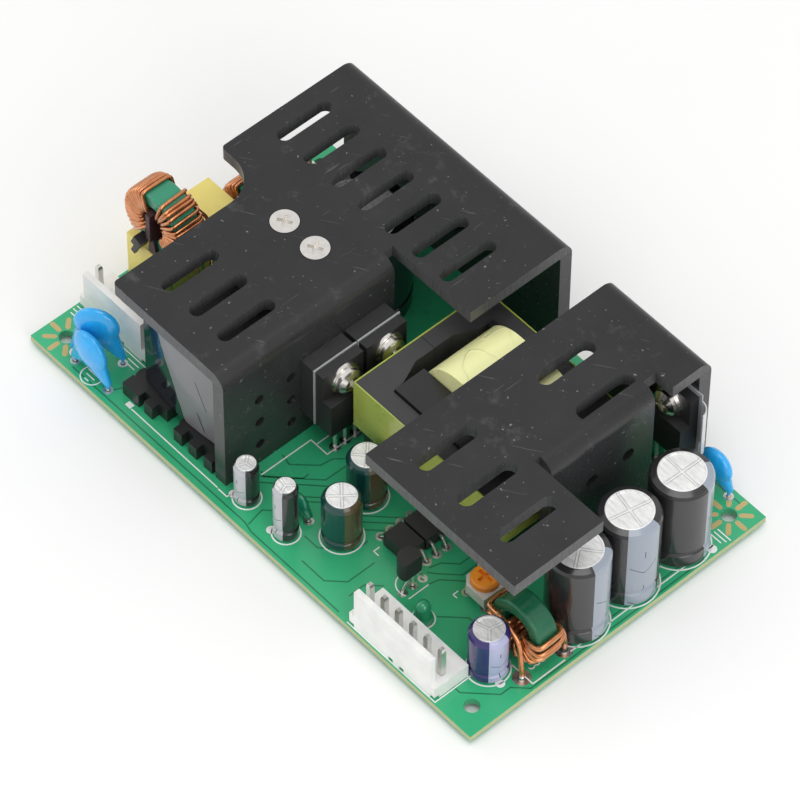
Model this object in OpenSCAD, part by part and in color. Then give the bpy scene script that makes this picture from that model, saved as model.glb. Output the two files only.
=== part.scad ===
// Open frame power supply: a populated circuit board under two bent sheet heatsinks.
// Origin: centre of the mounting holes, on the board's underside. +X runs from the
// input end to the output end, +Y to the edge that the heatsink walls stand on.

/* [Board] */
// Length of the board along X
board_l = 127; // [127:1:160]
// Width of the board along Y
board_w = 76.2; // [76:0.2:95]
// Thickness of the board
board_t = 1.6; // [1:0.1:2.4]
// Distance of each mounting hole's centre from both board edges
hole_inset = 5; // [4:0.5:6]
// Diameter of the mounting holes
hole_d = 3.2; // [2.8:0.1:4]
// How far leads and tabs reach below the board
lead_out = 1.2; // [1:0.1:2]
// Clearance around each lead in its board hole
hole_gap = 0.15; // [0.1:0.05:0.3]

/* [Heatsinks] */
// Height of both heatsinks above the board
sink_h = 32.4; // [32:0.2:40]
// Thickness of the heatsink sheet
sheet_t = 3; // [2:0.1:3.6]
// Outer radius of the heatsink bends
bend_r = 3.4; // [3.2:0.1:5]
// Width of the ventilation slots in the primary heatsink
slot_w = 3.1; // [2.4:0.1:3.6]
// Length of the ventilation slots
slot_l = 13.6; // [10:0.2:14]

/* [Power semiconductors] */
// Width of a power package
pack_w = 10.2; // [8.5:0.1:11]
// Height of a power package without its leads
pack_h = 15.9; // [14:0.1:17]
// Thickness of a power package's body
pack_t = 4.5; // [4:0.1:5.4]
// Thickness of a power package at its screw
pack_tab_t = 2.2; // [1.6:0.1:2.8]
// Shank diameter of the package screws
screw_d = 3; // [2.5:0.1:3.2]
// Head diameter of the package screws
screw_head_d = 5.6; // [4.8:0.1:6.4]
// Diameter of the package washers
washer_d = 6.9; // [6.4:0.1:8]
// Thickness of the insulating pads
pad_t = 0.3; // [0.2:0.05:0.5]

/* [Connectors] */
// Distance between neighbouring contact positions
contact_pitch = 3.96; // [3.9:0.01:4.75]
// Side of the square contact pins
contact_w = 1.14; // [0.8:0.02:1.4]
// Depth of a connector housing along Y
header_d = 8.5; // [8:0.1:10]
// Height of a connector's latching wall above the board
header_wall_h = 11.2; // [8:0.1:13]

/* [Capacitors] */
// Diameter of the output capacitors
output_cap_d = 12.5; // [10:0.1:12.8]
// Height of the output capacitors
output_cap_h = 22.3; // [16:0.1:27]
// Diameter of the main storage capacitor
bulk_cap_d = 22; // [18:0.5:24]
// Height of the main storage capacitor
bulk_cap_h = 25; // [20:0.5:28]
// Diameter of the auxiliary supply capacitors
driver_cap_d = 8; // [6.3:0.1:8.2]
// Height of the auxiliary supply capacitors
driver_cap_h = 12.8; // [10:0.1:16]
// Length of the interference capacitor's box along Y
x_cap_l = 21; // [17:0.5:21.5]
// Height of the interference capacitor's box
x_cap_h = 13; // [10:0.2:13.4]

/* [Magnetics] */
// Length of the main transformer's core along X
core_l = 39.4; // [32:0.2:40]
// Width of the main transformer's core along Y
core_w = 33.4; // [30:0.2:34]
// Thickness of the main transformer's core
core_t = 12.6; // [10:0.2:13]
// Height of the main transformer's winding
winding_h = 24; // [20:0.5:25]
// Outer diameter of the input choke's core
choke_d = 15; // [13:0.2:15.6]
// Axial length of the input choke's core
choke_l = 6; // [5:0.2:7.2]
// Outer diameter of the output inductor's core
inductor_d = 13.2; // [11:0.1:13.4]
// Diameter of the output inductor's wire
inductor_wire_d = 1.2; // [0.8:0.05:1.3]

/* [Adjustment] */
// Side of the trimmer's square base
trimmer_w = 6.6; // [6:0.1:7.5]
// Diameter of the trimmer's dial
dial_d = 5.8; // [4.8:0.1:6.4]

/* [Hidden] */
$fn = 48;

// Board edges and the two corner frames that places are measured from.
left = -board_l / 2;
right = board_l / 2;
front = -board_w / 2;
back = board_w / 2;
function from_left(p) = [left + p.x, front + p.y];
function from_right(p) = [right - p.x, front + p.y];

// General clearances.
touch_gap = 0.05;    // between faces that meet
fit_gap = 0.15;      // around a screw or post in its hole
seat_gap = 0.2;      // under a rounded piece that rests on another
lead_sides = 12;     // leads and their holes are twelve-sided
lead_root = 0.5;     // how far a lead reaches into its part

// Heatsinks.
sink_top = board_t + sink_h;
plate_under = sink_top - sheet_t;
bend_in = bend_r - sheet_t;
tab_w = 4;
tab_gap = 0.2;
pack_hole_drop = 3.3;      // from a package's top to its screw
dimple_d = 2.2;
dimple_depth = 1;
slot2_w = 3.5;
slot2_wide = 4.4;

// Primary heatsink, from the left and front edges.
sink1_left = 9.5;
sink1_front_left = 21.3;
sink1_wall = 53.15;
sink1_arm_end = 71.7;
sink1_front = 4.3;
sink1_shoulder = 41.6;
sink1_wall_end = 47.4;
sink1_arm = 49.9;
sink1_scoop_r = 8;
sink1_corner_r = 1;
sink1_slots = 7;
sink1_slot_x = 15.3;
sink1_slot_step = 7.8;
sink1_slot_y = 58.1;
sink1_low_slots = 3;
sink1_low_slot_x = 28.9;
sink1_low_slot_step = 8.05;
sink1_low_slot_y = 17.2;
csk_at = [[31.6, 38.55], [40.4, 38.55]];
csk_head_d = 5.8;
csk_d = 3;
csk_rim = 0.4;
csk_cone = 1.2;
csk_len = sheet_t + 3.2;
csk_cross = [30, 120];     // angles of the cross recess
dimple_y = [13.1, 21.1];
dimple_z = [7.4, 14.2, 21];      // above the underside of the board
wall1_x = left + sink1_wall;

// Secondary heatsink, from the right and front edges.
sink2_left = 43.5;
sink2_wall = 18.3;
sink2_arm_end = 17;
sink2_right = 3;
sink2_front = 12.9;
sink2_low_arm = 35.1;
sink2_wall_start = 36.6;
sink2_wall_end = 62.9;
sink2_arm = 66.1;
sink2_slot_x = [34.5, 23.5, 12.5];
sink2_slot_y = 25.1;
sink2_high_slot_y = 55.2;
sink2_hole_y = [47.1, 56.5];
sink2_hole_z = 20.4;
sink2_hole_d = 2.9;
wall2_x = right - sink2_wall;

// Power packages: two on the cross wall of the primary heatsink, two on the back wall
// of the secondary one.
block_t = 3.7;
block_drop = 0.3;
transistor_top = board_t + 22.8;
transistor_y = [front + 28.7, front + 39.75];
transistor_x = wall1_x + touch_gap + block_t + touch_gap + pad_t + touch_gap;
transistor_screw_z = transistor_top - pack_hole_drop;
rectifier_top = board_t + 24.2;
rectifier_x = [right - 33.5, right - 21.5];
rectifier_y = back - sheet_t - touch_gap - pad_t - touch_gap;
rectifier_screw_z = rectifier_top - pack_hole_drop;
pack_lead_d = 0.9;
pack_lead_x = 2.6;
pack_lead_pitch = 2.54;
washer_t = 0.6;
screw_head_h = 2;
screw_head_round = 0.8;
cross_l = 3.2;            // cross recess of every screw
cross_w = 0.8;
cross_depth = 1.1;
pan_cross_turn = 20;
pack_step = 7;            // height of the thin part around the screw hole
pad_margin = 1;
pad_side_margin = 0.3;

// Connectors.
input_at = [0.9, 11.9];
output_at = [10.4, 0.5];
header_base_h = 3.6;
header_wall_t = 1.3;
header_wall_inset = 1.3;
contact_y = 3.55;
contact_top = board_t + 11.4;
contact_tip = 0.6;
header_foot_h = 0.9;
input_slots = 5;
output_slots = 6;
input_contacts = [0, 2, 4];
output_contacts = [for (i = [0 : output_slots - 1]) i];

// Interference filter at the input end.
x_cap_at = [1, 24.2];
x_cap_w = 10;
x_cap_lead_in = 3;
x_cap_lead_d = 0.8;
choke_at = [9.1, 27.55];
choke_bore_d = 8.6;
choke_wire = 1.5;
choke_core_gap = 0.1;
choke_sweep = 128;
choke_lead_d = 0.9;
choke_starts = [104, -52];      // where each winding begins round the ring
choke_lead_gap = 1.6;
choke_lead_step = 2;
choke_back_leads = [2, 4.4];
sleeve_start = 264;
sleeve_sweep = 18;
sleeve_t = 0.8;
plate_t = 1.2;
plate_in = 0.6;
tie_start = 242;
tie_sweep = 10;
tie_t = 0.6;
tie_turn = -23;
choke_axis_z = board_t + x_cap_h + choke_d / 2 + choke_wire + choke_core_gap + seat_gap;
filter_choke_at = [10.3, 49.8];
filter_choke_d = 13;
filter_choke_bore_d = 7;
filter_choke_l = 5;
filter_start = 110;
filter_sweep = 140;
filter_lead_x = 5;
filter_choke_z = board_t + filter_choke_d / 2 + choke_wire + choke_core_gap + seat_gap;
fuse_at = [3.6, 63];
fuse_d = 3.6;
fuse_l = 10;
fuse_lead_out = 1.5;
fuse_lead_d = 0.7;
varistor_at = [21.5, 65];
varistor_d = 10;
varistor_lift = 2.4;
varistor_pitch = 5;
varistor_lead_d = 0.8;
disc_t = 3.6;

// Dipped capacitors: middle point, angle of the lead line, disc diameter, height of the
// disc's centre above the board, lead pitch.
y_cap_1 = [from_left([15.5, 2.5]), 0, 9.4, 7.6, 9.8];
y_cap_2 = [from_left([13.1, 6.3]), 32, 9.4, 10.2, 9.9];
y_cap_3 = [from_right([12, 74.3]), 0, 8, 6.2, 7.5];
ceramic = [from_left([67.4, 10.6]), 0, 5, 3.4, 5];
ceramic_t = 2.4;
dipped_lead_d = 0.7;

// Storage and boost stage, under the primary heatsink.
bulk_at = [34.5, 54.5];
bulk_pitch = 10;
bracket_w = 21;
bracket_t = 2;
bracket_h = 18;
bracket_at = [36, 38.55];
bracket_foot = 9;
bridge_w = 22;
bridge_h = 18;
bridge_t = 3.6;
bridge_pitch = 5;
bridge_pins = 4;
bridge_lead_d = 1;
boost_at = [36.1, 4.2];
boost_base_l = 26.6;
boost_base_w = 25;
boost_rail_w = 5.4;
boost_rail_h = 3.4;
boost_base_z = board_t + touch_gap;
boost_core_l = 21;
boost_core_w = 14;
boost_core_h = 23.6;
boost_core_y = 14.6;
boost_core_wall = 4;
boost_core_leg = 2;
boost_core_z = boost_base_z + seat_gap;
boost_post_d = 8;
boost_tube_wall = 1.2;
boost_flange_t = 1.1;
boost_flange_y = 4.8;
boost_winding_d = 15.5;
boost_block_w = 2.4;
boost_block_x = [-12, -9.7, -5.65, 3.05, 7.4, 11.9];
boost_block_d = 1.8;
boost_pin_in = 1.4;
boost_pin_d = 0.8;
boost_corner_r = 2.6;
boost_back_rail_w = 3.1;
boost_flange_out = 2;
boost_break = [-2.1, 1.4];
film_t = 0.4;
film_l = 24.6;
film_bow = 1.2;
film_y = 2.8;

// Main transformer.
transformer_at = [63.8, 28];
transformer_foot = 9.5;
core_z = board_t + transformer_foot;
core_leg = 3.7;
core_spine = 3.9;
core_brace = [2.6, 2.2, 3, 8];   // inner corner: width, width at the shoulder, shoulder, length
core_post_d = 12;
bobbin_wall = 1.2;
bobbin_flange_t = 1.5;
bobbin_rail_w = 5.6;
bobbin_shelf = 7.4;
bobbin_shelf_t = 1.6;
winding_w = 26;
winding_round = 9;
bobbin_pins = 6;
bobbin_pin_pitch = 5;
bobbin_pin_d = 0.9;
tape_t = 0.25;
core_gap = 0.1;

// Cylindrical capacitors: place, diameter, height, lead pitch, lead angle.
small_cap_d = 5;
small_cap_1 = [from_left([57.9, 5.5]), small_cap_d, 11, 2, 0];
small_cap_2 = [from_left([69.1, 5.6]), small_cap_d, 15, 2, 0];
driver_cap_1 = [from_left([76.7, 13]), driver_cap_d, driver_cap_h, 3.5, 0];
driver_cap_2 = [from_left([72.7, 22.9]), driver_cap_d, driver_cap_h, 3.5, 0];
feedback_cap = [from_right([9.4, 13.1]), 8, 12.4, 3.5, 30];
output_cap_1 = [from_right([6.9, 59.4]), output_cap_d, output_cap_h, 5, 60];
output_cap_2 = [from_right([6.9, 46]), output_cap_d, output_cap_h, 5, 20];
output_cap_3 = [from_right([6.7, 32.9]), output_cap_d, output_cap_h, 5, 20];
bulk_cap = [from_left(bulk_at), bulk_cap_d, bulk_cap_h, bulk_pitch, 0];
radial_caps = [small_cap_1, small_cap_2, driver_cap_1, driver_cap_2, feedback_cap,
    output_cap_1, output_cap_2, output_cap_3, bulk_cap];
can_lead_d = 0.7;
can_round = 0.8;
can_lip = 0.4;           // height that the sleeve's rim stands above the round
can_top_share = 0.74;    // bare top's share of the diameter
can_recess = 0.25;
can_groove_at = 0.16;    // groove's share of the height
can_groove_r = 0.9;

// Control parts.
opto_l = 6.4;
opto_w = 4.6;
opto_h = 3.4;
opto_lift = 0.4;
opto_span = 10.16;
opto_pitch = 2.54;
opto_1 = from_right([40.2, 19.65]);
opto_2 = from_right([40.2, 24.75]);
opto_lead_d = 0.7;
to92_at = from_right([32.7, 15.2]);
to92_d = 4.8;
to92_h = 4.8;
to92_lift = 3.4;
to92_flat = 1.3;
to92_pitch = 2.54;
to92_lead_d = 0.55;
led_at = from_right([25.7, 11.5]);
led_d = 3;
led_flange_d = 3.8;
led_h = 5.3;
led_flange_h = 1;
led_pitch = 2.54;
led_lead_d = 0.55;
trimmer_at = from_right([22.3, 24.1]);
trimmer_lift = 1.6;
trimmer_h = 2.6;
trimmer_bore_d = 2.1;
trimmer_shaft_d = 2;
trimmer_shaft_l = 1.6;
dial_h = 1.5;
dial_gap = 0.1;
dial_slot_w = 0.8;
trimmer_lead_d = 0.7;
trimmer_pitch = 5;
trimmer_lead_in = 1;
trimmer_key = 2.2;
trimmer_top = board_t + trimmer_lift + trimmer_h;

// Output inductor, a ring that stands on its winding.
inductor_at = from_right([8.3, 21.3]);
inductor_bore_d = 7.2;
inductor_l = 5;
inductor_gap = 0.1;
inductor_start = 165;
inductor_sweep = 215;
inductor_r = inductor_d / 2 + inductor_gap + inductor_wire_d;
inductor_z = board_t + seat_gap + inductor_r;
inductor_leads = [from_right([3.5, 16.2]), from_right([2.9, 26.4])];

// Chips under the board: places from the left and front edges with their length and width.
chips = [[69.5, 42, 9, 6], [88, 42, 6, 5], [39, 62, 6, 5]];
chip_h = 1.1;
small_chip = [2, 1.25, 0.6];
chip_grid = [66, 51];
chip_step = [4.2, 3.4];

// Places of the leads of each part, as [x, y, diameter].
function spread(at, angle, pitch, n, d) =
    [for (i = [0 : n - 1]) let (s = (i - (n - 1) / 2) * pitch)
        [at.x + s * cos(angle), at.y + s * sin(angle), d]];
function can_leads(c) = spread(c[0], c[4], c[3], 2, can_lead_d);
function dipped_leads(c) = spread(c[0], c[1], c[4], 2, dipped_lead_d);
function header_x(at, i) = at.x + (i + 0.5) * contact_pitch;
input_corner = from_left(input_at);
output_corner = from_right(output_at) - [output_slots * contact_pitch, 0];
function contact_places(corner, list) =
    [for (i = list) [header_x(corner, i), corner.y + contact_y, contact_w * sqrt(2)]];
function pack_leads_x(y) = spread([transistor_x + pack_lead_x, y], 90, pack_lead_pitch, 3, pack_lead_d);
function pack_leads_y(x) = spread([x, rectifier_y - pack_lead_x], 0, pack_lead_pitch, 3, pack_lead_d);
function opto_leads(at) = concat(spread(at - [opto_span / 2, 0], 90, opto_pitch, 2, opto_lead_d),
    spread(at + [opto_span / 2, 0], 90, opto_pitch, 2, opto_lead_d));
to92_leads = spread(to92_at, 90, to92_pitch, 3, to92_lead_d);
led_leads = spread(led_at, 0, led_pitch, 2, led_lead_d);
trimmer_lead_y = trimmer_w / 2 - trimmer_lead_in;
trimmer_leads = concat(
    spread(trimmer_at - [0, trimmer_lead_y], 0, trimmer_pitch, 2, trimmer_lead_d),
    [[trimmer_at.x, trimmer_at.y + trimmer_lead_y, trimmer_lead_d]]);
bridge_y = front + bracket_at.y - bracket_foot / 2 - touch_gap - bridge_t / 2;
bridge_leads = spread([left + bracket_at.x, bridge_y], 0, bridge_pitch, bridge_pins, bridge_lead_d);
x_cap_mid = from_left(x_cap_at) + [x_cap_w / 2, x_cap_l / 2];
x_cap_leads = spread(x_cap_mid, 90, x_cap_l - 2 * x_cap_lead_in, 2, x_cap_lead_d);
fuse_leads = spread(from_left(fuse_at), 90, fuse_l + 2 * fuse_lead_out, 2, fuse_lead_d);
varistor_leads = spread(from_left(varistor_at), 90, varistor_pitch, 2, varistor_lead_d);
choke_mid = from_left(choke_at);
choke_side_y = choke_l / 2 + choke_core_gap + choke_wire / 2;
choke_lead_x = x_cap_mid.x + x_cap_w / 2 + choke_lead_gap;
choke_leads = [
    for (y = [-choke_side_y, choke_side_y])
        [choke_lead_x + choke_lead_step, choke_mid.y + y, choke_lead_d],
    for (y = choke_back_leads) [choke_lead_x, choke_mid.y + choke_side_y + y, choke_lead_d]];
filter_mid = from_left(filter_choke_at);
filter_side_y = filter_choke_l / 2 + choke_core_gap + choke_wire / 2;
filter_leads = [for (x = [-filter_lead_x, filter_lead_x], y = [-filter_side_y, filter_side_y])
    [filter_mid.x + x, filter_mid.y + y, choke_lead_d]];
boost_mid = from_left(boost_at) + [0, boost_core_y];
boost_pin_y = front + boost_at.y + boost_block_w / 2 + boost_pin_in;
boost_pins = [for (x = boost_block_x) [boost_mid.x + x, boost_pin_y, boost_pin_d]];
transformer_corner = from_left(transformer_at);
transformer_mid = transformer_corner + [core_l / 2, core_w / 2];
rail_y = [transformer_corner.y + bobbin_rail_w / 2, transformer_corner.y + core_w - bobbin_rail_w / 2];
transformer_pins = [for (y = rail_y,
    p = spread([transformer_mid.x, y], 0, bobbin_pin_pitch, bobbin_pins, bobbin_pin_d)) p];
inductor_pads = [for (p = inductor_leads) [p.x, p.y, inductor_wire_d]];
all_leads = concat([for (c = radial_caps, p = can_leads(c)) p],
    [for (c = [y_cap_1, y_cap_2, y_cap_3, ceramic], p = dipped_leads(c)) p],
    contact_places(input_corner, input_contacts), contact_places(output_corner, output_contacts),
    [for (y = transistor_y, p = pack_leads_x(y)) p], [for (x = rectifier_x, p = pack_leads_y(x)) p],
    opto_leads(opto_1), opto_leads(opto_2), to92_leads, led_leads, trimmer_leads, bridge_leads,
    x_cap_leads, fuse_leads, varistor_leads, choke_leads, filter_leads, boost_pins,
    transformer_pins, inductor_pads);
// Tabs of the heatsink walls, as [x, y] of their middle.
tabs = [for (y = [8, 36]) [wall1_x - sheet_t / 2, front + y], [wall2_x - sheet_t / 2, front + 40],
    [wall2_x - sheet_t / 2, front + 59]];

// ---- helpers ----

module lead(p, top) {
    translate([p.x, p.y, -lead_out]) cylinder(d = p.z, h = top + lead_out, $fn = lead_sides);
}

// A straight rod between two points.
module rod(a, b, d, sides = 16) {
    v = b - a;
    n = norm(v);
    translate(a) rotate([0, acos(v.z / n), atan2(v.y, v.x)]) cylinder(d = d, h = n, $fn = sides);
}

module slot(w, l) {
    square([w, l - w], center = true);
    for (s = [-1, 1]) translate([0, s * (l - w) / 2]) circle(d = w);
}

module round_rect(w, h, r) {
    square([w - 2 * r, h], center = true);
    square([w, h - 2 * r], center = true);
    for (x = [-1, 1], y = [-1, 1]) translate([x * (w / 2 - r), y * (h / 2 - r)]) circle(r = r);
}

// Profile of a sheet that turns down at its outer corner: the corner is at [0, 0], the
// flat runs to -len and the leg down to -drop.
module bend_profile(len, drop) {
    translate([-len, -sheet_t]) square([len - bend_r, sheet_t]);
    translate([-sheet_t, -drop]) square([sheet_t, drop - bend_r]);
    translate([-bend_r, -bend_r]) intersection() {
        difference() {
            circle(r = bend_r);
            circle(r = bend_in);
        }
        square(bend_r);
    }
}

// The back wall of a heatsink with its bend, between two places along X.
module back_wall(x0, x1, reach) {
    translate([x0, back, sink_top]) rotate([90, 0, 90])
        linear_extrude(x1 - x0) bend_profile(reach, sink_h);
}

// A cross wall with its bend, between two places along Y; its outer face is at x.
module cross_wall(x, y0, y1, reach) {
    translate([x, y1, sink_top]) rotate([90, 0, 0])
        linear_extrude(y1 - y0) bend_profile(reach, sink_h);
}

module wall_tab(p) {
    translate([p.x - sheet_t / 2, p.y - tab_w / 2, -lead_out])
        cube([sheet_t, tab_w, board_t + lead_out + 1]);
}

// A power package: back face at x = 0, width along Y, top at z = 0.
module power_package(leads_down) {
    difference() {
        union() {
            translate([0, -pack_w / 2, -pack_h]) cube([pack_tab_t, pack_w, pack_h]);
            translate([0, -pack_w / 2, -pack_h]) cube([pack_t, pack_w, pack_h - pack_step]);
        }
        translate([-1, 0, -pack_hole_drop]) rotate([0, 90, 0])
            cylinder(d = screw_d + 2 * fit_gap, h = pack_t + 2);
    }
    for (p = spread([pack_lead_x, 0], 90, pack_lead_pitch, 3, pack_lead_d))
        translate([p.x, p.y, -leads_down])
            cylinder(d = p.z, h = leads_down - pack_h + lead_root, $fn = lead_sides);
}

// A pan head screw along +X: the head's seat is at x = 0 and the shank runs to -len.
module pan_screw(len) {
    difference() {
        union() {
            rotate([0, 90, 0]) cylinder(d = screw_head_d, h = screw_head_h - screw_head_round);
            translate([screw_head_h - screw_head_round, 0, 0]) rotate([0, 90, 0])
                cylinder(d1 = screw_head_d, d2 = screw_head_d - 2, h = screw_head_round);
            translate([-len, 0, 0]) rotate([0, 90, 0]) cylinder(d = screw_d, h = len + 0.1);
        }
        for (a = [0, 90]) rotate([a + pan_cross_turn, 0, 0])
            translate([screw_head_h - cross_depth, -cross_l / 2, -cross_w / 2])
                cube([cross_depth + 1, cross_l, cross_w]);
    }
}

// A connector housing: open row with a base and one latching wall on its front side.
module header(corner, n) {
    l = n * contact_pitch;
    translate([corner.x, corner.y, board_t + touch_gap]) difference() {
        union() {
            cube([l, header_d, header_base_h]);
            translate([header_wall_inset, 0, 0])
                cube([l - 2 * header_wall_inset, header_wall_t, header_wall_h]);
        }
        // Feet clearance at the front corners and in the middle of the front edge.
        for (x = [-0.01, l - header_wall_inset + 0.01, l / 2 - 1, l / 2 + 2])
            translate([x, -0.01, -0.01]) cube([header_wall_inset, header_wall_t, header_foot_h]);
        for (i = [0 : n - 1]) translate([(i + 0.5) * contact_pitch, contact_y, -1])
            translate([-contact_w / 2 - touch_gap, -contact_w / 2 - touch_gap, 0])
                cube([contact_w + 2 * touch_gap, contact_w + 2 * touch_gap, header_base_h + 2]);
    }
}

module contacts(corner, list) {
    body_h = contact_top + lead_out - contact_tip;
    for (i = list) translate([header_x(corner, i), corner.y + contact_y, -lead_out]) {
        translate([-contact_w / 2, -contact_w / 2, 0]) cube([contact_w, contact_w, body_h]);
        translate([0, 0, body_h]) rotate(45)
            cylinder(d1 = contact_w * sqrt(2), d2 = contact_w, h = contact_tip, $fn = 4);
    }
}

// A radial capacitor: sleeved can with a bare scored top and two leads.
module can(c) {
    r = c[1] / 2;
    h = c[2];
    top_r = r * can_top_share;
    shoulder = h - can_round - can_lip;
    translate([c[0].x, c[0].y, board_t + touch_gap]) rotate_extrude() difference() {
        union() {
            square([r, shoulder]);
            square([top_r, h]);
            translate([0, shoulder]) polygon([[0, 0], [r, 0], [r - 0.35, 0.65],
                [top_r + 0.3, can_round + 0.3], [top_r, can_round + can_lip], [0, can_round + can_lip]]);
        }
        translate([-1, h - can_recess]) square([top_r - can_recess + 1, 1]);
        // Groove that the can is sealed with, and the break at its foot.
        translate([r + 0.55, h * can_groove_at + 0.6]) circle(r = can_groove_r);
        translate([r, 0]) rotate(45) square(0.8, center = true);
    }
    for (p = can_leads(c)) lead(p, board_t + touch_gap + lead_root);
}

// A dipped disc with two coated legs.
module dipped_disc(c, t) {
    leads = dipped_leads(c);
    mid = [c[0].x, c[0].y, board_t + c[3]];
    r = c[2] / 2;
    leg_top = min(board_t + 2.2, board_t + c[3] - r * 0.6);
    for (p = leads) hull() {
        translate(mid) rotate([90, 0, c[1]])
            scale([1, 1, 0.62 * t / r]) sphere(r = r * 0.82, $fn = 28);
        translate([p.x, p.y, leg_top]) sphere(d = dipped_lead_d + 0.9, $fn = 16);
    }
    translate(mid) rotate([90, 0, c[1]]) scale([1, 1, t / 2 / r]) sphere(r = r, $fn = 36);
    for (p = leads) lead(p, leg_top);
}

// A ring core standing on edge, its axis along Y.
module ring_core(at, z, d, bore, l) {
    translate([at.x, at.y, z]) rotate([90, 0, 0]) rotate_extrude()
        translate([(d + bore) / 4, 0]) round_rect((d - bore) / 2, l, 0.6);
}

// A layer of wire around part of a ring core, from a start angle over a sweep.
module ring_winding(at, z, d, bore, l, wire, gap, start, sweep) {
    mid = (d + bore) / 4;
    w = (d - bore) / 2 + 2 * gap;
    translate([at.x, at.y, z]) rotate([90, 0, 0]) rotate(start) rotate_extrude(angle = sweep)
        translate([mid, 0]) difference() {
            round_rect(w + 2 * wire, l + 2 * gap + 2 * wire, wire);
            square([w, l + 2 * gap], center = true);
        }
}

// ---- board and heatsinks ----

module circuit_board() {
    color("seagreen") difference() {
        translate([left, front, 0]) cube([board_l, board_w, board_t]);
        for (x = [left + hole_inset, right - hole_inset], y = [front + hole_inset, back - hole_inset])
            translate([x, y, -1]) cylinder(d = hole_d, h = board_t + 2);
        for (p = all_leads) translate([p.x, p.y, -1])
            cylinder(d = p.z + 2 * hole_gap, h = board_t + 2, $fn = lead_sides);
        for (p = tabs) translate([p.x - sheet_t / 2 - tab_gap, p.y - tab_w / 2 - tab_gap, -1])
            cube([sheet_t + 2 * tab_gap, tab_w + 2 * tab_gap, board_t + 2]);
    }
}

// Outline of the primary heatsink's top, without its two bends.
module sink1_top() {
    x0 = left + sink1_left;
    x1 = left + sink1_front_left;
    x2 = wall1_x - bend_r;
    y0 = front + sink1_front;
    y1 = front + sink1_shoulder;
    y2 = front + sink1_wall_end;
    y3 = front + sink1_arm;
    y4 = back - bend_r;
    r = sink1_corner_r;
    difference() {
        union() {
            translate([x1, y0 + r]) square([x2 - x1, y2 - y0 - r]);
            translate([x1 + r, y0]) square([x2 - x1 - r, r + 1]);
            translate([x1 + r, y0 + r]) circle(r = r);
            translate([x0, y1 + r]) square([x2 - x0, y4 - y1 - r]);
            translate([x0 + r, y1]) square([x2 - x0 - r, r + 1]);
            translate([x0 + r, y1 + r]) circle(r = r);
            translate([x2 - 1, y3]) square([left + sink1_arm_end - x2 + 1, y4 - y3]);
            // Scooped inner corner that clears the input choke.
            translate([x1 - sink1_scoop_r, y1 - sink1_scoop_r]) difference() {
                square(sink1_scoop_r + 0.01);
                circle(r = sink1_scoop_r);
            }
        }
        for (i = [0 : sink1_slots - 1])
            translate([left + sink1_slot_x + i * sink1_slot_step, front + sink1_slot_y])
                slot(slot_w, slot_l);
        for (i = [0 : sink1_low_slots - 1])
            translate([left + sink1_low_slot_x + i * sink1_low_slot_step, front + sink1_low_slot_y])
                slot(slot_w, slot_l);
    }
}

module primary_heatsink() {
    color("dimgray") difference() {
        union() {
            translate([0, 0, plate_under]) linear_extrude(sheet_t) sink1_top();
            back_wall(left + sink1_left, left + sink1_arm_end, bend_r + 1);
            cross_wall(wall1_x, front + sink1_front, front + sink1_wall_end, bend_r + 1);
            for (p = [tabs[0], tabs[1]]) wall_tab(p);
        }
        for (p = csk_at) translate([left + p.x, front + p.y, sink_top]) {
            translate([0, 0, -sheet_t - 1]) cylinder(d = csk_d + 2 * fit_gap, h = sheet_t + 2);
            translate([0, 0, -csk_rim - csk_cone - fit_gap])
                cylinder(d1 = csk_d + 2 * fit_gap, d2 = csk_head_d + 2 * fit_gap, h = csk_cone);
            translate([0, 0, -csk_rim - fit_gap - 0.01]) cylinder(d = csk_head_d + 2 * fit_gap, h = 1);
        }
        for (y = dimple_y, z = dimple_z) translate([wall1_x - dimple_depth, front + y, z])
            rotate([0, 90, 0]) cylinder(d = dimple_d, h = dimple_depth + 1);
        for (y = transistor_y) translate([wall1_x - sheet_t - 1, y, transistor_screw_z])
            rotate([0, 90, 0]) cylinder(d = screw_d + 2 * fit_gap, h = sheet_t + 2);
    }
}

// Outline of the secondary heatsink's top, without its bends.
module sink2_top() {
    x0 = right - sink2_left;
    x2 = wall2_x - bend_r;
    y0 = front + sink2_front;
    y4 = back - bend_r;
    difference() {
        union() {
            translate([x0, y0]) square([x2 - x0, y4 - y0]);
            translate([x0, y0]) square([right - sink2_right - x0, sink2_low_arm - sink2_front]);
            translate([x0, front + sink2_arm]) square([right - sink2_arm_end - x0, y4 - front - sink2_arm]);
        }
        for (x = sink2_slot_x) translate([right - x, front + sink2_slot_y]) slot(slot2_w, slot_l + 0.4);
        translate([right - sink2_slot_x[0], front + sink2_high_slot_y]) slot(slot2_w, slot_l + 0.4);
        translate([right - sink2_slot_x[1] - 0.1, front + sink2_high_slot_y]) slot(slot2_wide, slot_l + 0.4);
    }
}

module secondary_heatsink() {
    color("dimgray") difference() {
        union() {
            translate([0, 0, plate_under]) linear_extrude(sheet_t) sink2_top();
            back_wall(right - sink2_left, right - sink2_arm_end, bend_r + 1);
            cross_wall(wall2_x, front + sink2_wall_start, front + sink2_wall_end, bend_r + 1);
            for (p = [tabs[2], tabs[3]]) wall_tab(p);
        }
        for (y = sink2_hole_y) translate([wall2_x - sheet_t - 1, front + y, sink2_hole_z])
            rotate([0, 90, 0]) cylinder(d = sink2_hole_d, h = sheet_t + 2);
        for (x = rectifier_x) translate([x, back - sheet_t - 1, rectifier_screw_z]) rotate([-90, 0, 0])
            cylinder(d = screw_d + 2 * fit_gap, h = sheet_t + 2);
    }
}

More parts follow.
